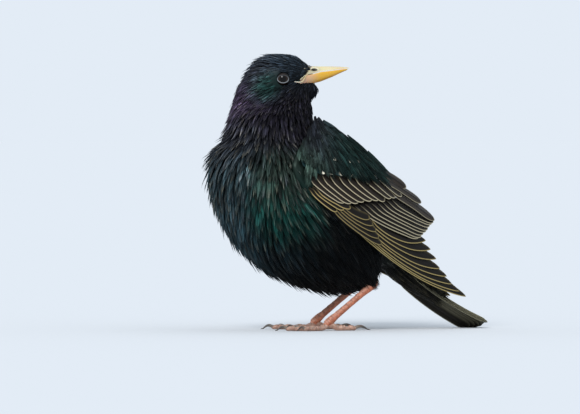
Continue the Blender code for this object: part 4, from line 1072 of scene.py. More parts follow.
def make_arm():
    rows = np.array(ARM_OUTLINE, float)
    along = np.linspace(rows[0, 0], rows[-1, 0], ARM_ROWS)
    low, high, thick, rise = (np.interp(along, rows[:, 0], rows[:, k]) for k in range(1, 5))
    share = np.linspace(0.0, 1.0, ARM_COLUMNS)
    across = low[:, None] + (high - low)[:, None] * share
    rounding = 1.0 - np.abs(2 * share - 1) ** 4
    lift = np.minimum(rise[:, None], -0.4) + (rise[:, None] - np.minimum(rise[:, None], -0.4)) * rounding
    outer = wing_sheet(along[:, None] + 0 * across, across, lift)
    inner = wing_sheet(along[:, None] + 0 * across, across, lift - thick[:, None])
    ring = np.concatenate([outer, inner[:, ::-1]], axis=1)
    sides = ring.shape[1]
    points = ring.reshape(-1, 3)
    faces = tube_faces(ARM_ROWS, sides)[:, ::-1]
    colours = gloss_colour(points) * 0.5
    flat = np.c_[wing_place(points)[0] / 140.0 + 0.1, wing_place(points)[1] / 90.0 + 0.3]
    flat[:, 0] += 0.45 * np.tile(np.arange(sides) >= sides // 2, ARM_ROWS)
    left = piece_mesh("wing_arm_left", points, faces, colours, flat)
    right = piece_mesh("wing_arm_right", *mirrored(points, faces), colours, flat)
    return left, right


WING_ARMS = make_arm()

# %% [markdown]
# The shoulder is covered by scapulars and by the smallest coverts, which are soft and streaky like body
# feathers. They fan out from the shoulder: straight down in front and along the back behind. Their
# roots are spread over the wing's sheet, and each one is laid on that sheet as a fan of barb bundles.

# %% Shoulder feathers
FAN_CENTRE = np.array([-10.0, 31.0])  # where the shoulder's feathers fan from, along and across the wing


def wing_fans(name, roots, length, half, lift, count, split, gloss, tips, tip_wear_and_sheen, draws):
    """Feathers of barb bundles on the wing's sheet, for both wings."""
    way = unit(roots - FAN_CENTRE)
    share = np.linspace(0.0, 1.0, 6)
    line = roots[:, None] + way[:, None] * (length[:, None] * share)[..., None]
    path = wing_sheet(line[..., 0], line[..., 1], lift[0] + (lift[1] - lift[0]) * share)
    normals = wing_normal(line[..., 0], line[..., 1])
    root_colour = gloss * 0.5
    chart = np.c_[roots[:, 0] / 140.0 + 0.15, roots[:, 1] / 140.0 + 0.3]
    thick = np.full(len(roots), 0.28)
    pieces = []
    for side, hand in HANDS.items():
        flip = np.array([1.0, -hand, 1.0])
        draws_side = np.random.default_rng(draws)
        pieces.append(fan_of_bundles(f"{name}_{side}", path * flip, normals * flip, half, thick, count,
                                     root_colour, gloss, tips, tip_wear_and_sheen, chart, draws_side, split))
    return pieces


def make_shoulder():
    draws = np.random.default_rng(5)
    along, across = np.meshgrid(np.arange(-5.0, 34.0, 2.0), np.arange(-7.0, 29.0, 2.0), indexing="ij")
    roots = np.stack([along.ravel(), across.ravel()], axis=1)
    roots = roots + draws.uniform(-0.9, 0.9, roots.shape)
    along, across = roots.T
    keep = (
        (across > 6.0 + 0.42 * along) & (across < 27.0 + 0.05 * along)
        | ((along < 5.0) & (across > 4.0 - 1.8 * along))
    )
    roots = roots[keep]
    length = 9.0 + 0.30 * np.maximum(roots[:, 0], 0.0) + draws.uniform(-1.5, 1.5, len(roots))
    half = np.full(len(roots), 1.7)
    places = wing_sheet(roots[:, 0], roots[:, 1])
    gloss = gloss_colour(places) * np.exp(draws.normal(0.0, 0.25, (len(roots), 1))) + linear("#0c1f1d") * 0.2
    tips = np.repeat(linear("#5c6a60")[None], len(roots), axis=0)
    tip_wear_and_sheen = draws.uniform(0.0, 0.6, len(roots)) ** 2
    return wing_fans("shoulder_feathers", roots, length, half, (3.6, 4.6), 7, 0.2, gloss, tips, tip_wear_and_sheen, 11)


SHOULDER = make_shoulder()
for (blades, arm), side in zip(zip(WING_BLADES, WING_ARMS), HANDS):
    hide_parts("wing_" + side)


# %% [markdown]
# Flight feathers are stiffer and duller than body feathers: keratin with little structural colour and a
# faint brown sheen. Their finish has less metal in it and a rougher surface.

# %% Finish of the flight feathers
def make_flight_keratin():
    finish, tree = new_finish("matt_keratin_vane")
    paint = add_node(tree, "ShaderNodeAttribute", attribute_name="coat_colour")
    shader = add_node(
        tree, "ShaderNodeBsdfPrincipled", [("Base Color", paint.outputs["Color"])],
        Metallic=0.0, Roughness=0.5, IOR=1.54, Specular_IOR_Level=0.12,
    )
    close_finish(tree, shader)
    return finish


flight_keratin = make_flight_keratin()
for piece in WING_BLADES:
    piece.data.materials.append(flight_keratin)
for piece in [*SHOULDER, *WING_ARMS]:
    piece.data.materials.append(gloss_keratin)

# %% [markdown]
# The tail is a closed fan of twelve feathers. The middle pair lies on top and each next pair lies a
# step lower and further out, so the pale outer rims show as a stack of lines at the side. The feathers
# are laid out flat first, where a fan is easy to think about. Then the whole fan is bent and rolled in
# one go, which brings its tips down to the floor and turns its left edge up.

# %% The bend of the tail
TAIL_ROOT = np.array([47.0, 0.0, 36.0])
TAIL_LENGTH = 62.0
TAIL_DIP_ROOT = math.radians(43.0)
TAIL_DIP_TIP = math.radians(21.5)
TAIL_ROLL = math.radians(-16.0)
TAIL_PAIRS = 6
TAIL_FLOOR_ROOM = 0.05  # no feather goes through the floor
TAIL_LAYER = 0.8
TAIL_TILT_DEGREES = 5.0  # how much further each pair's outer edge is turned down
TAIL_OLIVE = linear("#231f16")
TAIL_RIM = linear("#b8b294")


def tail_place(flat):
    """Where a point of the flat fan (along, side, up) lies in the bent and rolled tail."""
    along, side, up = np.moveaxis(np.asarray(flat, float), -1, 0)
    bend = (TAIL_DIP_ROOT - TAIL_DIP_TIP) / TAIL_LENGTH
    dip = TAIL_DIP_ROOT - bend * along
    zero = 0.0 * dip
    middle = np.stack([(math.sin(TAIL_DIP_ROOT) - np.sin(dip)) / bend, zero,
                       -(np.cos(dip) - math.cos(TAIL_DIP_ROOT)) / bend], axis=-1) + TAIL_ROOT
    above = np.stack([np.sin(dip), zero, np.cos(dip)], axis=-1)
    sideways = np.array([0.0, 1.0, 0.0])
    rolled = sideways * math.cos(TAIL_ROLL) + above * math.sin(TAIL_ROLL)
    over = above * math.cos(TAIL_ROLL) - sideways * math.sin(TAIL_ROLL)
    return middle + rolled * side[..., None] + over * up[..., None]


def tail_blade(pair, hand):
    """One tail feather, made flat on the left and mirrored for the right."""
    shares = blade_shares()
    length = TAIL_LENGTH - 1.8 + 0.9 * math.sin(pair) - 0.03 * pair**3
    spread = math.radians(0.2 + 0.5 * pair)
    layer = -TAIL_LAYER * (pair + 0.5 * (hand > 0))
    side = -(0.4 + 0.75 * pair) - length * shares * math.sin(spread)
    path = np.stack([length * shares * math.cos(spread), side, layer + 0.0 * shares], axis=-1)
    tilt = math.radians(TAIL_TILT_DEGREES * pair)
    normals = np.tile([0.0, -math.sin(tilt), math.cos(tilt)], (len(shares), 1))
    outline = blade_outline(shares, 0.90, 2.4)
    look = rim_look(TAIL_OLIVE, TAIL_RIM, 0.85, 0.12, shaft=TAIL_OLIVE * 0.6, inner_strength=0.35)
    points, faces, colours = blade(path, normals, 2.9 * outline, 4.4 * outline, length, look, arch=0.06)
    if hand > 0:
        points, faces = mirrored(points, faces)
    return tail_place(points), faces, colours


def make_tail_blades():
    parts = [tail_blade(pair, hand) for hand in (-1, 1) for pair in range(TAIL_PAIRS)]
    points, faces, colours = joined(parts)
    points[:, 2] = np.maximum(points[:, 2], TAIL_FLOOR_ROOM)
    made = piece_mesh("tail_blades", points, faces, colours, blade_chart(parts))
    print("tail:", len(parts), "feathers,", len(faces), "triangles")
    return made


TAIL_BLADES = make_tail_blades()

# %% [markdown]
# Soft coverts wrap the tail's root above and below. They are fans of barb bundles like the body's,
# laid on the flat tail too: the lower ones are long, loose and brown-black with buff edges.

# %% Coverts of the tail
TAIL_BODY = np.array([
    # along, half width, up and down of the root under the coverts
    (-8.0, 8.2, 6.2, 8.2), (4.0, 8.2, 4.4, 8.2), (12.0, 7.8, 2.4, 7.0), (22.0, 6.2, 0.6, 5.2),
    (31.0, 4.4, -0.4, 4.0),
])


def tail_body(along, turn):
    """A place on the tail's root: turn goes round it from the right side over the top."""
    half, up, down = (np.interp(along, TAIL_BODY[:, 0], TAIL_BODY[:, k]) for k in (1, 2, 3))
    reach = np.where(np.sin(turn) > 0, up, down)
    return np.stack([along + 0.0 * turn, half * np.cos(turn), reach * np.sin(turn)], axis=-1)


def make_tail_root():
    """The closed form under the coverts."""
    rows, sides = 18, 28
    along = np.linspace(TAIL_BODY[0, 0], TAIL_BODY[-1, 0], rows)[:, None]
    turn = np.linspace(0.0, 2.0 * math.pi, sides, endpoint=False)[None, :]
    points = tail_place(tail_body(along, turn)).reshape(-1, 3)
    paint = unfolded(points, points.mean(axis=0))
    return piece_mesh("tail_root", points, tube_faces(rows, sides), gloss_colour(points) * 0.4, paint)


def make_tail_coverts():
    draws = np.random.default_rng(31)
    along, turn = np.meshgrid(np.arange(-7.0, 22.0, 2.1), np.arange(0.0, 2 * math.pi, 0.26), indexing="ij")
    along = along.ravel() + draws.uniform(-1.0, 1.0, along.size)
    turn = turn.ravel() + draws.uniform(-0.12, 0.12, turn.size)
    below = np.sin(turn) < 0.15
    keep = below | (along < 14.0)
    along, turn, below = along[keep], turn[keep], below[keep]
    length = np.where(below, 15.0, 11.0) + draws.uniform(-2.0, 2.0, len(along))
    share = np.linspace(0.0, 1.0, 6)
    reach = along[:, None] + length[:, None] * share
    flat = tail_body(reach, turn[:, None] + 0.0 * reach)
    off = tail_body(reach, turn[:, None] + 0.0 * reach + 1e-3)
    steps = np.gradient(flat, axis=1)
    outward = unit(np.cross(steps, off - flat))
    outward *= np.sign((outward * (flat * [0.0, 1.0, 1.0])).sum(axis=-1, keepdims=True))
    flat = flat + outward * (0.3 + 0.9 * share)[:, None]
    path = tail_place(flat)
    normals = unit(tail_place(flat + outward) - path)
    gloss = gloss_colour(path[:, 0]) * np.where(below, 0.8, 1.0)[:, None]
    tips = np.where(below[:, None], linear("#5d5743"), linear("#4a4c42"))
    tip_wear_and_sheen = np.where(below, 0.5, 0.35) * draws.uniform(0.2, 1.0, len(along))
    chart = 0.02 + 0.96 * np.c_[(along + 10.0) / 60.0, (turn + 0.5) / 7.5]
    return fan_of_bundles(
        "tail_coverts", path, normals, np.where(below, 1.9, 1.6), np.full(len(along), 0.26), 7, gloss * 0.5,
        gloss, tips, tip_wear_and_sheen, chart, draws,
    )


TAIL_SOFT = [make_tail_root(), make_tail_coverts()]
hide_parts("tail")
TAIL_BLADES.data.materials.append(flight_keratin)
for piece in TAIL_SOFT:
    piece.data.materials.append(gloss_keratin)

# %% [markdown]
# The bill is two horny mandibles. The upper one is an arch over the line of the mouth and the lower one a
# keel under it. A loft through a few measured stations gives each: how far forward, where the mouth,
# the culmen and the keel run, and how wide it is. A smooth curve through the stations and many rings
# make the surface fine enough for the nostril, which is pressed in under its small horny lid.

# %% Mandibles
BILL_STATIONS = np.array([
    # forward, mouth line, culmen, keel, half width
    (5.5, -2.4, 6.6, -5.4, 3.8),
    (9.0, -0.8, 7.5, -4.2, 5.6),
    (12.5, 2.4, 7.35, -3.1, 4.8),
    (16.5, 3.4, 7.25, -1.8, 3.8),
    (20.0, 4.3, 7.2, -0.9, 3.1),
    (26.0, 5.0, 7.2, 1.5, 2.1),
    (31.0, 5.7, 7.0, 3.9, 1.2),
    (33.8, 6.0, 6.7, 5.1, 0.6),
])
BILL_TIP = 35.3
BILL_TIP_UP = 6.2
LOWER_TIP_SHORT = 0.9
MOUTH_GAP = 0.14
NOSTRIL_FORWARD, NOSTRIL_UP = 16.6, 5.35
BILL_RINGS, BILL_SIDES = 110, 41


def smooth_through(values, knots, at):
    """A gentle curve through the stations: straight interpolation, rounded by a short running mean."""
    fine = np.linspace(knots[0], knots[-1], 400)
    line = np.interp(fine, knots, values)
    padded = np.pad(line, 14, mode="reflect", reflect_type="odd")
    soft = np.convolve(padded, np.hanning(31)[1:-1] / np.hanning(31).sum(), mode="valid")
    return np.interp(at, fine, soft)


def mandible(upper):
    """Points in the head's frame (forward, side, up), ring by ring, and the faces of one mandible."""
    knots = BILL_STATIONS[:, 0]
    end = BILL_TIP - (0.0 if upper else LOWER_TIP_SHORT)
    forward = knots[0] + (end - knots[0]) * (1 - (1 - np.linspace(0.0, 1.0, BILL_RINGS)) ** 1.35)
    inner = np.minimum(forward, knots[-1])
    mouth, culmen, keel, half = (smooth_through(BILL_STATIONS[:, k], knots, inner) for k in (1, 2, 3, 4))
    close = np.sqrt(np.clip((end - forward) / (end - knots[-1] + 1e-9), 0.0, 1.0))
    close = np.where(forward > knots[-1], close, 1.0)
    away = 1.0 if upper else -1.0
    tip_up = BILL_TIP_UP - (0.0 if upper else 0.35)
    edge = tip_up + (mouth + away * MOUTH_GAP - tip_up) * close
    far = tip_up + ((culmen if upper else keel) - tip_up) * close
    half = half * close + 0.02
    turn = np.linspace(0.0, math.pi, BILL_SIDES)
    cosine = np.sign(np.cos(turn)) * np.abs(np.cos(turn)) ** 0.85
    out = half[:, None] * cosine
    out = out * (1.0 - 0.16 * np.sin(turn) ** 2)
    up = edge[:, None] + (far - edge)[:, None] * np.sin(turn) ** 0.9
    points = np.stack([forward[:, None] + 0.0 * out, out, up], axis=-1)
    if upper:
        points = pressed_nostril(points)
    flat = points.reshape(-1, 3)
    faces = tube_faces(BILL_RINGS, BILL_SIDES)
    return flat, faces[:, ::-1] if upper else faces


def nostril_shape(points):
    """How much a place belongs to the nostril's slit, to the shallow field ahead of it, and to its lid."""
    ahead, rise = points[..., 0] - NOSTRIL_FORWARD, points[..., 2] - NOSTRIL_UP
    slit = np.exp(-((ahead / 1.55) ** 2 + (rise / 0.62) ** 2) ** 1.5)
    field = np.exp(-(((ahead - 0.6) / 2.6) ** 2 + ((rise + 0.1) / 0.95) ** 2))
    round_slit = np.sqrt((ahead / 1.95) ** 2 + ((rise + 0.05) / 1.0) ** 2)
    lid = np.exp(-(((round_slit - 1.12) / 0.2) ** 2)) * smooth_step(-0.2, 0.6, rise)
    return slit, field, lid


def pressed_nostril(points):
    """Pushes the slit and its field in and lets the lid above swell."""
    slit, field, lid = nostril_shape(points)
    inward = 1.1 * slit + 0.28 * field - 0.24 * lid
    pressed = points.copy()
    pressed[..., 1] -= np.sign(points[..., 1]) * np.minimum(inward, np.abs(points[..., 1]) * 0.8)
    return pressed


# %% [markdown]
# In spring a starling's bill is yellow. Here the upper mandible is pale, almost cream, and greyish at its
# base. The lower one is strong yellow at the tip and pinkish buff at the base. Thin growth
# lines of the horn run along it. The colours are set by the place on the bill and are soft, as horn is.

# %% Colours of the bill
HORN_CREAM = linear("#cfc397")
HORN_WHITE_AND_HIGHLIGHT = linear("#e9e4cc")
HORN_GREY = linear("#8d8375")
HORN_PINK = linear("#b98f80")
HORN_YELLOW = linear("#d9a41c")
HORN_BUFF = linear("#cfa274")
HORN_ORANGE = linear("#b0701f")
HORN_PAINTED_SHADE = linear("#3c2a1c")


def bill_colours(points, upper):
    forward, rise = points[:, 0], points[:, 2]
    mouth = smooth_through(BILL_STATIONS[:, 1], BILL_STATIONS[:, 0], np.minimum(forward, 33.8))
    if upper:
        culmen = smooth_through(BILL_STATIONS[:, 2], BILL_STATIONS[:, 0], np.minimum(forward, 33.8))
        height = (rise - mouth) / np.maximum(culmen - mouth, 0.3)
        # Painted highlight: a white band along the lower edge of the upper mandible, just over the mouth
        # line, from 15 mm forward.
        colour = mixed(HORN_CREAM + 0 * points, HORN_WHITE_AND_HIGHLIGHT, smooth_step(-0.35, 0.0, -height)
                       * smooth_step(15, 20, forward))
        colour = mixed(colour, HORN_YELLOW, 0.45 * smooth_step(22, 33, forward)
                       * smooth_step(-0.6, -0.2, -height))
        colour = mixed(colour, HORN_PINK, 0.5 * smooth_step(0.5, 1.0, height) * smooth_step(20, 30, forward))
        colour = mixed(colour, HORN_GREY, 0.55 * smooth_step(-21.0, -13.0, -forward))
        # Painted shade: the pressed-in field ahead of the nostril is darkened brown, and the slit itself is
        # nearly black.
        slit, field, lid = nostril_shape(points)
        colour = mixed(colour, HORN_PAINTED_SHADE, 0.6 * field * (1 - lid))
        colour = mixed(colour, HORN_PAINTED_SHADE * 0.3, smooth_step(0.15, 0.5, slit))
        return mixed(colour, HORN_WHITE_AND_HIGHLIGHT, 0.8 * lid)
    keel = smooth_through(BILL_STATIONS[:, 3], BILL_STATIONS[:, 0], np.minimum(forward, 33.8))
    height = (rise - keel) / np.maximum(mouth - keel, 0.3)
    colour = mixed(HORN_BUFF + 0 * points, HORN_YELLOW, smooth_step(14, 21, forward))
    colour = mixed(colour, HORN_ORANGE, 0.65 * smooth_step(-0.45, -0.05, -height)
                   * smooth_step(12, 24, forward))
    colour = mixed(colour, HORN_PINK, 0.6 * smooth_step(-16.0, -10.0, -forward))
    # Painted shade: the top of the lower mandible is darkened brown near its base, in the crease at the
    # corner of the mouth.
    return mixed(colour, HORN_PAINTED_SHADE, 0.6 * smooth_step(-12.6, -11.2, -forward)
                 * smooth_step(0.6, 0.9, height))


def make_bill():
    pieces = {}
    for name, upper in (("bill_upper", True), ("bill_lower", False)):
        flat, faces = mandible(upper)
        places = np.array([head_point(*p) for p in flat])
        ring, side = np.divmod(np.arange(len(flat)), BILL_SIDES)
        paint = 0.02 + 0.96 * np.c_[ring / BILL_RINGS, side / BILL_SIDES]
        made = piece_mesh("horn_" + name, places, faces, bill_colours(flat, upper), paint)
        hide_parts(name)
        pieces[name] = made
    return pieces


BILL = make_bill()

# %% [markdown]
# The soft corner of the mouth is a narrow pale roll of skin. It follows the mouth's line from the bill
# back and down over the cheek, and hides where horn meets feathers.

# %% Gape
GAPE_LINE = ((13.4, 2.9), (12.4, 2.2), (11.3, 0.3), (10.4, -0.9), (9.0, -1.25), (7.2, -1.1), (6.2, -0.9))
GAPE_RADII = (0.16, 0.34, 0.40, 0.42, 0.38, 0.30, 0.10)
GAPE_RINGS, GAPE_SIDES = 40, 14


def ringed_tube(path, radii, sides, squeeze=1.0):
    """Points and faces of a closed tube. Squeeze narrows it from side to side."""
    path, radii = np.asarray(path, float), np.asarray(radii, float)
    tangents = unit(np.gradient(path, axis=0))
    first = unit(UP - tangents * (tangents @ UP)[:, None])
    second = np.cross(tangents, first)
    turn = np.linspace(0.0, 2 * math.pi, sides, endpoint=False)
    rings = path[:, None] + radii[:, None, None] * (
        np.cos(turn)[None, :, None] * first[:, None] + squeeze * np.sin(turn)[None, :, None] * second[:, None]
    )
    return rings.reshape(-1, 3), tube_faces(len(path), sides)


def tube_chart(stations, sides):
    """A paint map that unrolls a tube: along it one way and round it the other."""
    row, side = np.divmod(np.arange(stations * sides), sides)
    return 0.02 + 0.96 * np.c_[row / stations, side / sides]


def bill_side(forward, up):
    """Half width of the bill at a place on its side."""
    mouth, culmen, half = (
        smooth_through(BILL_STATIONS[:, k], BILL_STATIONS[:, 0], forward) for k in (1, 2, 4)
    )
    return half * math.sqrt(max(0.05, 1.0 - ((up - mouth) / (culmen - mouth)) ** 2))


def make_gape(hand):
    shares = np.linspace(0, len(GAPE_LINE) - 1, GAPE_RINGS)
    forward, up = (np.interp(shares, range(len(GAPE_LINE)), column) for column in zip(*GAPE_LINE))
    radii = np.interp(shares, range(len(GAPE_RADII)), GAPE_RADII)
    path = []
    for f, u in zip(forward, up):
        cheek = abs(float((cheek_point(f, u, hand) - head_point(f, 0.0, u)) @ HEAD_SIDE))
        path.append(head_point(f, hand * (max(cheek, bill_side(f, u)) - 0.05), u))
    points, faces = ringed_tube(path, radii, GAPE_SIDES)
    colours = mixed(np.tile(linear("#b39a6a"), (len(points), 1)), linear("#c9bfae"),
                    smooth_step(0.3, 0.9, np.repeat(shares / shares[-1], GAPE_SIDES)))
    made = piece_mesh("gape_" + ("right" if hand > 0 else "left"), points, faces, colours,
                      tube_chart(GAPE_RINGS, GAPE_SIDES))
    return made


GAPES = [make_gape(hand) for hand in HANDS.values()]
print("bill:", sum(len(piece.data.polygons) for piece in BILL.values()), "triangles")


# %% [markdown]
# Horn is smooth and a little translucent, so light softens inside it. The finish has low
# roughness, a thin clear coat, some scattering under the surface and faint lines along the bill.

# %% Finish of horn
def make_polished_horn():
    finish, tree = new_finish("polished_horn")
    paint = add_node(tree, "ShaderNodeAttribute", attribute_name="coat_colour")
    place = add_node(tree, "ShaderNodeTexCoord")
    lines = add_node(tree, "ShaderNodeTexNoise", [("Vector", place.outputs["Object"])], Scale=900.0,
                     Detail=2.0)
    bump = add_node(tree, "ShaderNodeBump", [("Height", lines.outputs["Fac"])], Strength=0.06,
                    Distance=0.0002)
    shader = add_node(
        tree, "ShaderNodeBsdfPrincipled",
        [("Base Color", paint.outputs["Color"]), ("Normal", bump.outputs["Normal"])],
        Roughness=0.38, IOR=1.54, Subsurface_Weight=0.12, Subsurface_Scale=0.0012, Coat_Weight=0.25,
        Coat_Roughness=0.2,
    )
    close_finish(tree, shader)
    return finish


polished_horn = make_polished_horn()
for piece in [*BILL.values(), *GAPES]:
    piece.data.materials.append(polished_horn)

# %% [markdown]
# The slender feathers of the lores lie over the root of the horn, so the bill comes out of the plumage
# along a slanting line, from the nostril down to the corner of the mouth. They are rooted on the
# bill's own side, behind that line, and run back towards the eye.

# %% Feathers over the bill's root
EXPOSED_FROM = ((-5.2, 10.0), (-3.8, 10.0), (-1.1, 7.2), (1.2, 10.2), (2.7, 12.2), (4.2, 13.6), (6.3, 15.2),
                (7.6, 15.6))
LORES_LENGTH = 4.2
LORES_TRIES = 9000
LORES_ROOM = 0.62  # the distance that roots keep


def make_lores():
    draws = np.random.default_rng(17)
    tries = np.stack([draws.uniform(5.5, 15.6, LORES_TRIES), draws.uniform(-1.3, 7.6, LORES_TRIES)], axis=-1)
    edge = np.interp(tries[:, 1], *zip(*EXPOSED_FROM))
    tries = tries[tries[:, 0] < edge]
    kept = []
    for place in tries:
        if not kept or ((np.array(kept) - place) ** 2).sum(axis=1).min() > LORES_ROOM**2:
            kept.append(place)
    forward, rise = np.array(kept).T
    share = np.linspace(0.0, 1.0, 6)
    paths, normals, roots = [], [], []
    for hand in HANDS.values():
        for f, u in zip(forward, rise):
            run = f - LORES_LENGTH * share
            out = np.array([max(bill_side(max(at, 5.5), u), 1.6) for at in run])
            lift = 0.12 + 0.5 * share
            drop = u - 0.5 * share
            paths.append([head_point(a, hand * (b + c), d) for a, b, c, d in zip(run, out, lift, drop)])
            top = np.clip((u - 4.5) / 3.0, 0.0, 1.0)
            normals.append(np.repeat(unit(hand * HEAD_SIDE * (1.05 - top) + UP * top)[None], 6, axis=0))
            roots.append(paths[-1][0])
    paths, normals, roots = np.array(paths), np.array(normals), np.array(roots)
    count = len(paths)
    half = np.full(count, 0.40)
    gloss = gloss_colour(roots) * np.exp(draws.normal(0.0, 0.3, (count, 1)))
    base = np.repeat(DOWN_COLOUR[None], count, axis=0)
    tips = np.repeat(linear("#2c343b")[None], count, axis=0)
    tip_wear_and_sheen = draws.uniform(0.0, 0.5, count)
    return fan_of_bundles("lores_feathers", paths, normals, half, np.full(count, 0.2), 3, base, gloss, tips,
                          tip_wear_and_sheen,
                          unfolded(roots, HEAD_MIDDLE), draws)


LORES = make_lores()
LORES.data.materials.append(gloss_keratin)


# %% [markdown]
# A starling's eye is a glossy, almost black bead: a dark brown iris round a black pupil. What gives
# it life is the lid's rim, a thin pale ring of bare skin that hides the edge of the ball, so the
# ball seems to sit deep. The ball is a fine sphere coloured by the angle from its axis. The rim is a
# small rolled profile swept round an oval that lies on the ball.

# %% Eyes
BALL_RINGS, BALL_SIDES = 40, 56
PUPIL_ANGLE, IRIS_ANGLE = math.radians(26.0), math.radians(44.0)
LID_SIDES = 72
LID_OPENING = np.array([2.72, 1.86])  # half width and half height of the gap between the lids
LID_PROFILE = (
    # how far out from the opening's edge, and how high over the ball
    (-0.30, -0.55),
    (-0.05, -0.02),
    (0.02, 0.14),
    (0.16, 0.27),
    (0.28, 0.28),
    (0.38, 0.18),
    (0.50, 0.00),
    (1.00, -0.30),
    (1.80, -1.30),
)
PUPIL_BLACK = linear("#040303")
IRIS_BROWN = linear("#22140c")
LID_PALE = linear("#7c8083")
LID_PAINTED_SHADE = linear("#34373a")


def make_eye(side, hand):
    """The ball, with rings round the axis that looks out of the cheek."""
    centre, out = EYE_PLACES[side], hand * HEAD_SIDE
    polar = np.linspace(0.01, math.pi - 0.01, BALL_RINGS)
    turn = np.linspace(0.0, 2 * math.pi, BALL_SIDES, endpoint=False)
    reach, rise = np.sin(polar)[:, None] * EYE_RADIUS, np.cos(polar)[:, None] * EYE_RADIUS
    points = centre + (
        (reach * np.cos(turn))[..., None] * HEAD_FORWARD
        + (reach * np.sin(turn))[..., None] * UP
        + (rise + 0.0 * turn)[..., None] * out
    )
    faces = tube_faces(BALL_RINGS, BALL_SIDES)
    faces = faces if hand < 0 else faces[:, ::-1]
    in_iris = smooth_step(PUPIL_ANGLE - 0.05, PUPIL_ANGLE + 0.05, polar)
    in_iris = in_iris * smooth_step(-IRIS_ANGLE - 0.1, -IRIS_ANGLE, -polar)
    colours = np.repeat(mixed(PUPIL_BLACK + np.zeros((BALL_RINGS, 3)), IRIS_BROWN, in_iris), BALL_SIDES,
                        axis=0)
    ball = piece_mesh("eye_ball_" + side, points.reshape(-1, 3), faces, colours,
                      tube_chart(BALL_RINGS, BALL_SIDES))
    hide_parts("eye_" + side)
    return ball


def make_lids(side, hand):
    """The pale rim, with painted light: lighter below, where it faces up to the sky, and painted shade above.
    """
    centre, out = EYE_PLACES[side], hand * HEAD_SIDE
    turn = np.linspace(0.0, 2 * math.pi, LID_SIDES, endpoint=False)
    away = np.stack([np.cos(turn), np.sin(turn)], axis=-1)
    rings = []
    for wide, high in LID_PROFILE:
        flat = away * (LID_OPENING + wide)
        ball = np.sqrt(np.maximum(EYE_RADIUS**2 - (flat**2).sum(axis=-1), 0.3))
        rings.append(centre + flat[:, :1] * HEAD_FORWARD + flat[:, 1:] * UP + (ball + high)[:, None] * out)
    points = np.array(rings).reshape(-1, 3)
    faces = np.array(swept_faces(len(rings), len(turn)))
    faces = faces[:, ::-1] if hand < 0 else faces
    # Painted light and shade: the rim is lighter low down, where it faces the sky, and darker at its top.
    painted_light_below = smooth_step(-0.9, 0.5, -np.sin(turn))
    row = np.arange(len(rings))
    on_rim = ((row >= 2) & (row <= 5)).astype(float)
    rim = mixed(LID_PAINTED_SHADE + np.zeros((len(turn), 3)), LID_PALE, painted_light_below)
    colours = mixed(np.tile(DOWN_COLOUR, (len(rings), len(turn), 1)), rim[None],
                    np.repeat(on_rim[:, None], len(turn), 1))
    lids = piece_mesh("lids_" + side, points, faces, colours.reshape(-1, 3),
                      tube_chart(len(rings), len(turn)))
    return lids


EYES = [make_eye(side, hand) for side, hand in HANDS.items()]
LIDS = [make_lids(side, hand) for side, hand in HANDS.items()]


# %% [markdown]
# The ball is wet, so its finish is the smoothest of all. The lids are dry
# skin with a soft sheen.

# %% Finishes of eye and lid
def painted_finish(name, **settings):
    """A finish whose colour is painted on the points, with the given surface."""
    finish, tree = new_finish(name)
    paint = add_node(tree, "ShaderNodeAttribute", attribute_name="coat_colour")
    close_finish(tree, add_node(tree, "ShaderNodeBsdfPrincipled", [("Base Color", paint.outputs["Color"])],
                                **settings))
    return finish


wet_cornea = painted_finish("wet_cornea", Roughness=0.04, IOR=1.376, Specular_IOR_Level=0.3)
lid_skin = painted_finish("dry_lid_skin", Roughness=0.5, IOR=1.4)
for ball, lids in zip(EYES, LIDS):
    ball.data.materials.append(wet_cornea)
    lids.data.materials.append(lid_skin)

# %% [markdown]
# A songbird's shank is a bone in a tight sleeve of horn. Its front carries a row of wide overlapping
# plates, and its sides are smooth. The toes have short plates above and soft pads below, which rest
# flat on the floor. Each is a tube whose radius changes along it and round it, so plates, joints and
# pads are all in one formula.

# %% Shanks and toes
TARSUS_LENGTH = 33.0
FOOT_HEIGHT = 4.8
HEADINGS = {"left": math.radians(174.0), "right": math.radians(170.0)}
TOES = {
    # turn from straight ahead, toe length, claw length, radius, joints
    "inner": (-24.0, 16.0, 6.0, 1.3, 3),
    "middle": (0.0, 24.0, 7.0, 1.45, 4),
    "outer": (22.0, 17.5, 6.0, 1.3, 3),
    "hind": (178.0, 14.5, 9.0, 1.6, 3),
}
TOE_HEIGHT = 1.15
PLATE_LIFT = 0.13
SHANK_RINGS, SHANK_SIDES = 150, 28
JOINT_RINGS, JOINT_SIDES = 24, 24
TOE_RINGS, TOE_SIDES = 70, 22
FLOOR_ROOM = 0.02  # pads and claws end this far over the floor
SHANK_PLATE, TOE_PLATE = 3.6, 1.25  # lengths of the plates on the shank and on the toes
SHANK_SHARES = (0.0, 0.12, 0.2, 0.38, 0.6, 0.85, 0.94, 1.0)
SHANK_RADII = (1.5, 2.15, 2.1, 1.5, 1.42, 1.55, 1.95, 1.7)
LEG_ORANGE = linear("#b4694a")
LEG_GROOVE_SHADE = linear("#5f3628")
TOE_PINK = linear("#a6806e")
PLATE_EDGE = linear("#cbb4a4")


def foot_place(side):
    """Where the toes meet: the shank runs from the ankle forwards and down to this height."""
    ankle = ANKLES[side]
    level = math.sqrt(TARSUS_LENGTH**2 - (ankle[2] - FOOT_HEIGHT) ** 2)
    return np.array([ankle[0] - level, ankle[1], FOOT_HEIGHT])


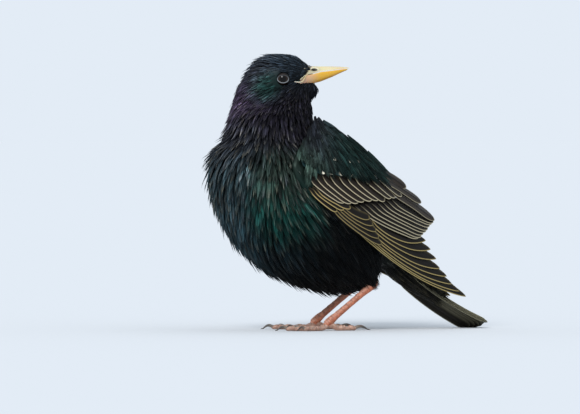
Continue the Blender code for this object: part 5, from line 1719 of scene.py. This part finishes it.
def plated_tube(path, radii, front_way, sides, plate, pad=0.0, front_wide=1.0):
    """A closed tube with plates on its front. Gives points, faces and how deep in a groove each point is."""
    path, radii = np.asarray(path, float), np.asarray(radii, float)
    tangents = unit(np.gradient(path, axis=0))
    front = unit(front_way - tangents * (tangents @ front_way)[:, None])
    beside = np.cross(tangents, front)
    turn = np.linspace(0.0, 2 * math.pi, sides, endpoint=False)
    run = np.r_[0.0, np.cumsum(np.linalg.norm(np.diff(path, axis=0), axis=1))]
    on_plate = (run / plate) % 1.0
    facing = smooth_step(-0.1, 0.45, np.cos(turn))
    rise = PLATE_LIFT * min(1.0, plate / 2.5) * (on_plate**0.8 - 0.5)[:, None] * facing
    radius = radii[:, None] + rise + pad * np.maximum(-np.cos(turn), 0.0)
    points = path[:, None] + radius[..., None] * (
        front_wide * np.cos(turn)[None, :, None] * front[:, None] + np.sin(turn)[None, :, None]
        * beside[:, None]
    )
    groove = (smooth_step(-0.16, 0.0, -on_plate) + smooth_step(0.9, 1.0, on_plate) * 0.5)[:, None] * facing
    facing = facing + 0.0 * groove
    return points.reshape(-1, 3), tube_faces(len(path), sides), groove.ravel(), facing.ravel()


def rounded_path(corners, count, smooth):
    """A path through corners, evenly stepped and with its bends rounded by a running mean."""
    corners = np.asarray(corners, float)
    run = np.r_[0.0, np.cumsum(np.linalg.norm(np.diff(corners, axis=0), axis=1))]
    at = np.linspace(0.0, run[-1], count)
    path = np.stack([np.interp(at, run, corners[:, k]) for k in range(3)], axis=-1)
    padded = np.pad(path, ((smooth, smooth), (0, 0)), mode="reflect", reflect_type="odd")
    window = np.hanning(2 * smooth + 3)[1:-1]
    return np.stack([np.convolve(padded[:, k], window / window.sum(), mode="valid") for k in range(3)],
                    axis=-1)


def leg_colours(groove, facing, base, edge, deep):
    colour = mixed(base + np.zeros((len(groove), 3)), edge, 0.25 * facing)
    # Painted shade: the grooves between the plates are darkened towards a deep brown.
    return mixed(colour, deep, 0.75 * np.clip(groove, 0.0, 1.0))


def make_shank(side):
    knee, ankle, foot = KNEES[side], ANKLES[side], foot_place(side)
    above, way = unit(ankle - knee), unit(foot - ankle)
    path = rounded_path([ankle - above * 6.0, ankle, foot + way * 1.0], SHANK_RINGS, 9)
    shares = np.linspace(0.0, 1.0, len(path))
    radii = np.interp(shares, SHANK_SHARES, SHANK_RADII)
    ahead = np.array([-1.0, 0.0, 0.2])
    points, faces, groove, facing = plated_tube(path, radii, ahead, SHANK_SIDES, SHANK_PLATE, front_wide=1.15)
    points[:, 2] = np.maximum(points[:, 2], FLOOR_ROOM)
    return points, faces, leg_colours(groove, facing, LEG_ORANGE, PLATE_EDGE, LEG_GROOVE_SHADE)


def toe_way(side, turn_degrees):
    heading = HEADINGS[side] - HANDS[side] * math.radians(turn_degrees)
    return np.array([math.cos(heading), math.sin(heading), 0.0])


def make_toe(side, toe):
    """One toe, from inside the foot's joint to the root of its claw."""
    turn, length, _, radius, joints = TOES[toe]
    foot, out = foot_place(side), toe_way(side, turn)
    shares = np.linspace(0.0, 1.0, TOE_RINGS)
    run = length * shares
    start_height = FOOT_HEIGHT - 1.6
    height = TOE_HEIGHT + (start_height - TOE_HEIGHT) * smooth_step(-6.0, 0.5, -run)
    height = height + 0.35 * np.sin(math.pi * joints * shares) ** 2 * smooth_step(3.0, 7.0, run)
    path = np.array([foot[0], foot[1], 0.0]) + out * run[:, None] + UP * height[:, None]
    knuckle = 0.10 * np.cos(2 * math.pi * joints * shares)
    radii = radius * (0.96 - knuckle * smooth_step(2.0, 5.0, run)) * (1.0 - 0.24 * shares)
    radii *= np.sqrt(np.clip((1.02 - shares) / 0.05, 0.0, 1.0))
    points, faces, groove, facing = plated_tube(path, radii, UP, TOE_SIDES, TOE_PLATE, pad=0.10)
    points[:, 2] = np.maximum(points[:, 2], FLOOR_ROOM)
    return points, faces, leg_colours(groove, facing, TOE_PINK, PLATE_EDGE, LEG_GROOVE_SHADE)


def make_foot_joint(side):
    """The knuckle where the toes meet the shank."""
    foot, way = foot_place(side), unit(foot_place(side) - ANKLES[side])
    path = rounded_path([foot - way * 1.5, foot + way * 1.2, foot + way * 3.4], JOINT_RINGS, 3)
    radii = np.interp(np.linspace(0, 1, JOINT_RINGS), (0.0, 0.3, 0.7, 1.0), (1.7, 2.2, 2.0, 0.9))
    points, faces, groove, facing = plated_tube(path, radii, UP, JOINT_SIDES, TOE_PLATE)
    points[:, 2] = np.maximum(points[:, 2], FLOOR_ROOM)
    return points, faces, leg_colours(groove, facing, LEG_ORANGE, PLATE_EDGE, LEG_GROOVE_SHADE)


def make_leg(side):
    parts = [make_shank(side), make_foot_joint(side)] + [make_toe(side, toe) for toe in TOES]
    points, faces, colours = joined(parts)
    chart = []
    for number, (part_points, _, _) in enumerate(parts):
        sides = (SHANK_SIDES, JOINT_SIDES, *[TOE_SIDES] * len(TOES))[number]
        strip = tube_chart(len(part_points) // sides, sides)
        chart.append(np.c_[(number + strip[:, 0]) / len(parts), strip[:, 1]])
    leg = piece_mesh("scaled_leg_" + side, points, faces, colours, np.concatenate(chart))
    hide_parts("shank_" + side)
    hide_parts("foot_" + side)
    return leg


LEGS = [make_leg(side) for side in HANDS]

# %% [markdown]
# A claw is a horn hook, deepest at its root and drawn out to a point. The hind claw is the
# longest. Each grows out of the end of its toe and its tip comes down to the floor.

# %% Claws
CLAW_RINGS, CLAW_SIDES = 26, 16
CLAW_HORN = linear("#3a302a")
CLAW_PALE = linear("#7a6c60")


def make_claw(side, toe):
    turn, length, claw, radius, _ = TOES[toe]
    foot, out = foot_place(side), toe_way(side, turn)
    shares = np.linspace(0.0, 1.0, CLAW_RINGS)
    height = TOE_HEIGHT + 1.2 * np.sin(math.pi * np.minimum(1.0, shares * 1.25)) - 0.85 * shares**2
    path = (
        np.array([foot[0], foot[1], 0.0])
        + out * (length - 0.7 + claw * shares)[:, None]
        + UP * height[:, None]
    )
    radii = radius * 0.60 * (1.0 - shares) ** 0.75 + 0.07
    points, faces = ringed_tube(path, radii, CLAW_SIDES, squeeze=0.72)
    points[:, 2] = np.maximum(points[:, 2], FLOOR_ROOM)
    horn = mixed(CLAW_PALE + np.zeros((CLAW_RINGS, 3)), CLAW_HORN, smooth_step(0.05, 0.6, shares))
    colours = np.repeat(horn, CLAW_SIDES, axis=0)
    made = piece_mesh(f"horn_claw_{side}_{toe}", points, faces, colours,
                      tube_chart(CLAW_RINGS, CLAW_SIDES))
    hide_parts(f"claw_{side}_{toe}")
    return made


CLAWS = [make_claw(side, toe) for side in HANDS for toe in TOES]
print("legs:", sum(len(leg.data.polygons) for leg in LEGS), "triangles, claws:", len(CLAWS))


# %% [markdown]
# Leg skin is waxy: light sinks in a little and comes back warm. A fine noise stands for the small
# creases between the plates.

# %% Finish of the legs
def make_leg_skin():
    finish, tree = new_finish("waxy_leg_skin")
    paint = add_node(tree, "ShaderNodeAttribute", attribute_name="coat_colour")
    place = add_node(tree, "ShaderNodeTexCoord")
    mottle = add_node(tree, "ShaderNodeTexNoise", [("Vector", place.outputs["Object"])], Scale=700.0,
                      Detail=4.0)
    tone = add_node(tree, "ShaderNodeMapRange", [("Value", mottle.outputs["Fac"])], From_Min=0.3,
                    From_Max=0.7,
                    To_Min=0.6, To_Max=1.25)
    toned = add_node(tree, "ShaderNodeVectorMath", [(0, paint.outputs["Color"])], operation="SCALE")
    tree.links.new(tone.outputs["Result"], toned.inputs["Scale"])
    bump = add_node(tree, "ShaderNodeBump", [("Height", mottle.outputs["Fac"])], Strength=0.35,
                    Distance=0.0002)
    shader = add_node(
        tree, "ShaderNodeBsdfPrincipled",
        [("Base Color", toned.outputs["Vector"]), ("Normal", bump.outputs["Normal"])],
        Roughness=0.45, IOR=1.45, Subsurface_Weight=0.15, Subsurface_Scale=0.001,
    )
    close_finish(tree, shader)
    return finish


waxy_leg_skin = make_leg_skin()
for leg in LEGS:
    leg.data.materials.append(waxy_leg_skin)
for claw in CLAWS:
    claw.data.materials.append(polished_horn)
# %% [markdown]
# The stage is a plain pale floor under a pale sky, with one wide soft sun from the front left that stands
# for a large studio window. A sun lights the floor evenly out to its edge. The floor's tone is chosen so
# that what it gives back equals the sky: no horizon shows and no pool of light draws the eye.

# %% Floor, sky and soft sun
FLOOR_REACH = 14.0
SKY = linear("#e3ecf6")
SUN_STRENGTH = 2.2
SUN_SOFTNESS_DEGREES = 24.0
SUN_FROM = unit([-0.78, -0.80, 0.85])
FLOOR_TONE = SKY / (SKY + SUN_STRENGTH * SUN_FROM[2] / math.pi)

floor_mesh = bpy.data.meshes.new("floor")
floor_shape = bmesh.new()
bmesh.ops.create_circle(floor_shape, cap_ends=True, segments=96, radius=FLOOR_REACH)
floor_shape.to_mesh(floor_mesh)
floor_shape.free()
floor = bpy.data.objects.new("floor", floor_mesh)
bpy.context.scene.collection.objects.link(floor)
matt_paint, floor_tree = new_finish("matt_floor_paint")
close_finish(floor_tree, add_node(
    floor_tree, "ShaderNodeBsdfPrincipled", Base_Color=(*FLOOR_TONE, 1.0), Roughness=1.0,
    Specular_IOR_Level=0.0
))
floor_mesh.materials.append(matt_paint)

sky = bpy.data.worlds.new("pale_sky")
sky.use_nodes = True
sky_light = sky.node_tree.nodes["Background"]
sky_light.inputs["Color"].default_value = (*SKY, 1.0)
sky_light.inputs["Strength"].default_value = 1.0
bpy.context.scene.world = sky
bpy.context.scene.view_settings.view_transform = "Standard"

soft_sun = bpy.data.lights.new("soft_sun", "SUN")
soft_sun.energy = SUN_STRENGTH
soft_sun.angle = math.radians(SUN_SOFTNESS_DEGREES)
lamp = bpy.data.objects.new("soft_sun", soft_sun)
bpy.context.scene.collection.objects.link(lamp)
lamp.rotation_euler = Vector(SUN_FROM).to_track_quat("Z", "Y").to_euler()
